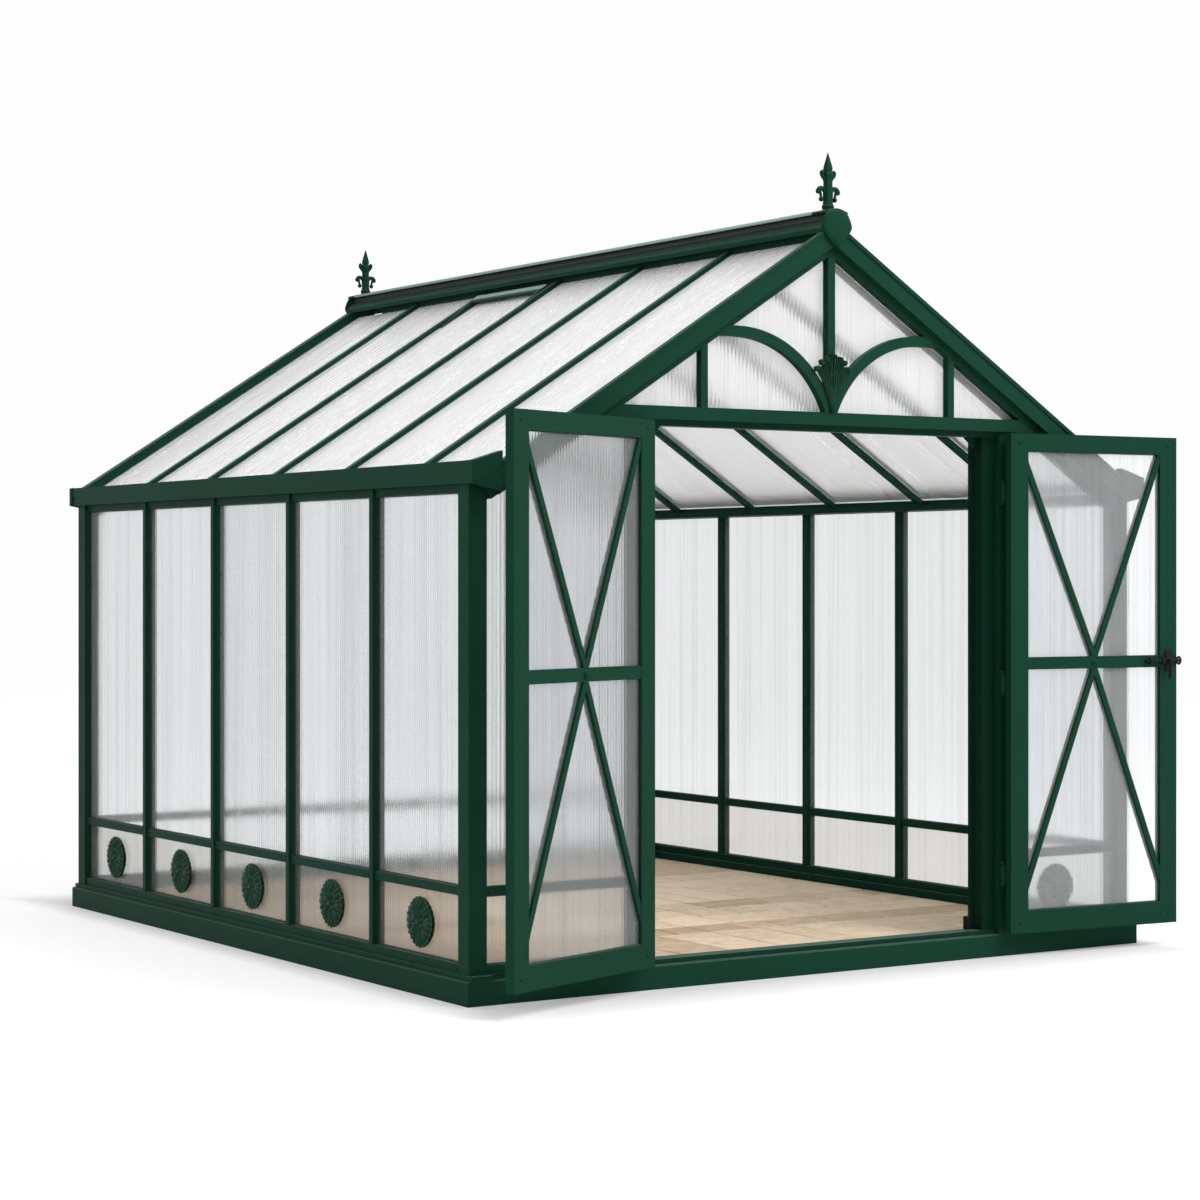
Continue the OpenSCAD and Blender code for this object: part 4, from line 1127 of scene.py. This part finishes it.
def latch_plate(lo, hi):
    """A plate with rounded corners: a squared circle carried forwards, drawn in at both
    ends."""
    lo, hi = np.array(lo), np.array(hi)
    mid, half = (lo + hi) / 2, (hi - lo) / 2
    across, up = outline(32, 8)
    draw, run = np.array([(0, 0), (1, 0), (1, 0.8), (0.93, 1), (0, 1)]).T[..., None]
    x = mid[0] + half[0] * draw * across
    z = mid[2] + half[2] * draw * up
    return rings(np.stack([x, lo[1] + (hi[1] - lo[1]) * run + 0 * x, z], -1), -1)


class GARDENHOUSE_OT_hardware(bpy.types.Operator):
    """Fit the screws of the walls and of the leaves, and the lever latch"""

    bl_idname = "gardenhouse.hardware"
    bl_label = "Fit the hardware"

    def execute(self, context):
        wall_screws()
        for side in ("left", "right"):
            leaf_screws("door_" + side)
        lever_latch()
        return {"FINISHED"}


def seen_rays(tree):
    """One for rays from the camera and for those that show the backdrop in gloss or through
    glass, and zero for the rays that light the object."""
    path = node(tree, "ShaderNodeLightPath").outputs
    through = maths(tree, "MAXIMUM", path["Is Glossy Ray"], path["Is Transmission Ray"])
    return maths(tree, "MAXIMUM", path["Is Camera Ray"], through)


def backdrop(scene, sky):
    """An even white light, nearly white where it is seen."""
    scene.world = bpy.data.worlds.new("studio")
    scene.world.use_nodes = True
    tree = scene.world.node_tree
    tree.nodes.clear()
    level = maths(tree, "MULTIPLY_ADD", seen_rays(tree), 0.985 - sky, sky)
    back = node(tree, "ShaderNodeBackground", {"Color": (1, 1, 1), "Strength": level})
    node(tree, "ShaderNodeOutputWorld", {"Surface": back.outputs["Background"]})


def ground(scene):
    """A wide pale floor. Where it is seen it glows a little, and more with the distance from
    the deck, so that it runs into the backdrop and still keeps the shadow."""
    mat, tree, shader = new_material("studio floor")
    seen = seen_rays(tree)
    place = object_place(tree)
    pale = mix_colour(tree, noise(tree, place, 3.0, 2.0), [0.445] * 3, [0.455] * 3)
    parts = axes(tree, place)
    deck = np.subtract(*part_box("floor_deck")[::-1]) / 2 + APRON
    side, front = (
        maths(tree, "SUBTRACT", maths(tree, "ABSOLUTE", parts[axis]), float(edge))
        for axis, edge in zip("XY", deck)
    )
    side = maths(tree, "MULTIPLY", side, 1 / RISE_BESIDE)
    front = maths(tree, "MULTIPLY_ADD", front, 1 / RISE_BEFORE, -0.25)
    rise = node(tree, "ShaderNodeClamp", {"Value": maths(tree, "MAXIMUM", side, front)})
    glow = maths(tree, "MULTIPLY_ADD", rise.outputs[0], 0.4, 0.2)
    feed(tree, shader, {
        "Base Color": mix_colour(tree, seen, [0.9] * 3, pale),
        "Roughness": 0.8,
        "Specular IOR Level": 0.05,
        "Emission Color": (1, 1, 1),
        "Emission Strength": maths(tree, "MULTIPLY", seen, glow),
    })
    mesh = bpy.data.meshes.new("studio_floor")
    r = 60.0
    mesh.from_pydata([(-r, -r, 0), (r, -r, 0), (r, r, 0), (-r, r, 0)], [], [(0, 1, 2, 3)])
    mesh.materials.append(mat)
    floor = bpy.data.objects.new("studio_floor", mesh)
    floor.location = (0, 0, -0.5 * MM)
    scene.collection.objects.link(floor)


def lamp(scene, name, place, aim, size, power):
    """A round soft lamp at a place, turned towards its aim."""
    data = bpy.data.lights.new(name, "AREA")
    data.shape = "DISK"
    data.size = size
    data.energy = power
    obj = bpy.data.objects.new(name, data)
    obj.location = place
    x, y, z = np.subtract(aim, place)
    obj.rotation_euler = (math.atan2(math.hypot(x, y), -z), 0, math.atan2(y, x) - math.pi / 2)
    scene.collection.objects.link(obj)


class GARDENHOUSE_OT_stage(bpy.types.Operator):
    """Set the backdrop, the lamps and the camera"""

    bl_idname = "gardenhouse.stage"
    bl_label = "Set the stage"

    def execute(self, context):
        scene = context.scene
        s = scene.garden_stage
        backdrop(scene, s.sky)
        ground(scene)
        lamp(scene, "key_lamp", (2.5, -7.5, 8.5), (0, 0, 1.0), 5.0, s.key)
        lamp(scene, "side_lamp", (7.5, -6.0, 5.5), (-1.0, -1.0, 1.2), 5.0, s.side)
        lamp(scene, "fill_lamp", (-9.0, -2.5, 6.0), (-1.0, 0.0, 1.4), 6.0, s.fill)
        camera = bpy.data.cameras.new("view")
        camera.lens = s.lens
        camera.sensor_width = 36
        camera.shift_y = s.rise
        camera.clip_end = 200
        eye = bpy.data.objects.new("view", camera)
        eye.location = s.eye
        eye.rotation_euler = (math.pi / 2, 0, -s.turn)
        scene.collection.objects.link(eye)
        scene.camera = eye
        scene.view_settings.view_transform = "Standard"
        return {"FINISHED"}


class GARDENHOUSE_PT_panel(bpy.types.Panel):
    """Lists the garden house's steps"""

    bl_label = "Garden house"
    bl_idname = "GARDENHOUSE_PT_panel"
    bl_space_type = "VIEW_3D"
    bl_region_type = "UI"
    bl_category = "Garden house"

    def draw(self, context):
        for cls in STEPS:
            self.layout.operator(cls.bl_idname)
        for _, group_name in SETTINGS:
            settings = getattr(context.scene, group_name)
            for key in settings.bl_rna.properties.keys():
                if key not in ("rna_type", "name"):
                    self.layout.prop(settings, key)


STEPS = (
    GARDENHOUSE_OT_paint,
    GARDENHOUSE_OT_glaze,
    GARDENHOUSE_OT_floor,
    GARDENHOUSE_OT_rosettes,
    GARDENHOUSE_OT_spray,
    GARDENHOUSE_OT_finials,
    GARDENHOUSE_OT_gaskets,
    GARDENHOUSE_OT_ridge,
    GARDENHOUSE_OT_hardware,
    GARDENHOUSE_OT_stage,
)
SETTINGS = (
    (FinishSettings, "garden_finish"),
    (FloorSettings, "garden_floor"),
    (OrnamentSettings, "garden_ornament"),
    (StageSettings, "garden_stage"),
)


def register():
    for cls, name in SETTINGS:
        bpy.utils.register_class(cls)
        setattr(bpy.types.Scene, name, bpy.props.PointerProperty(type=cls))
    for cls in (*STEPS, GARDENHOUSE_PT_panel):
        bpy.utils.register_class(cls)


def unregister():
    for cls in (GARDENHOUSE_PT_panel, *reversed(STEPS)):
        bpy.utils.unregister_class(cls)
    for cls, name in reversed(SETTINGS):
        delattr(bpy.types.Scene, name)
        bpy.utils.unregister_class(cls)


def main():
    register()
    for cls in STEPS:
        family, step = cls.bl_idname.split(".")
        getattr(getattr(bpy.ops, family), step)()


if __name__ == "__main__":
    main()
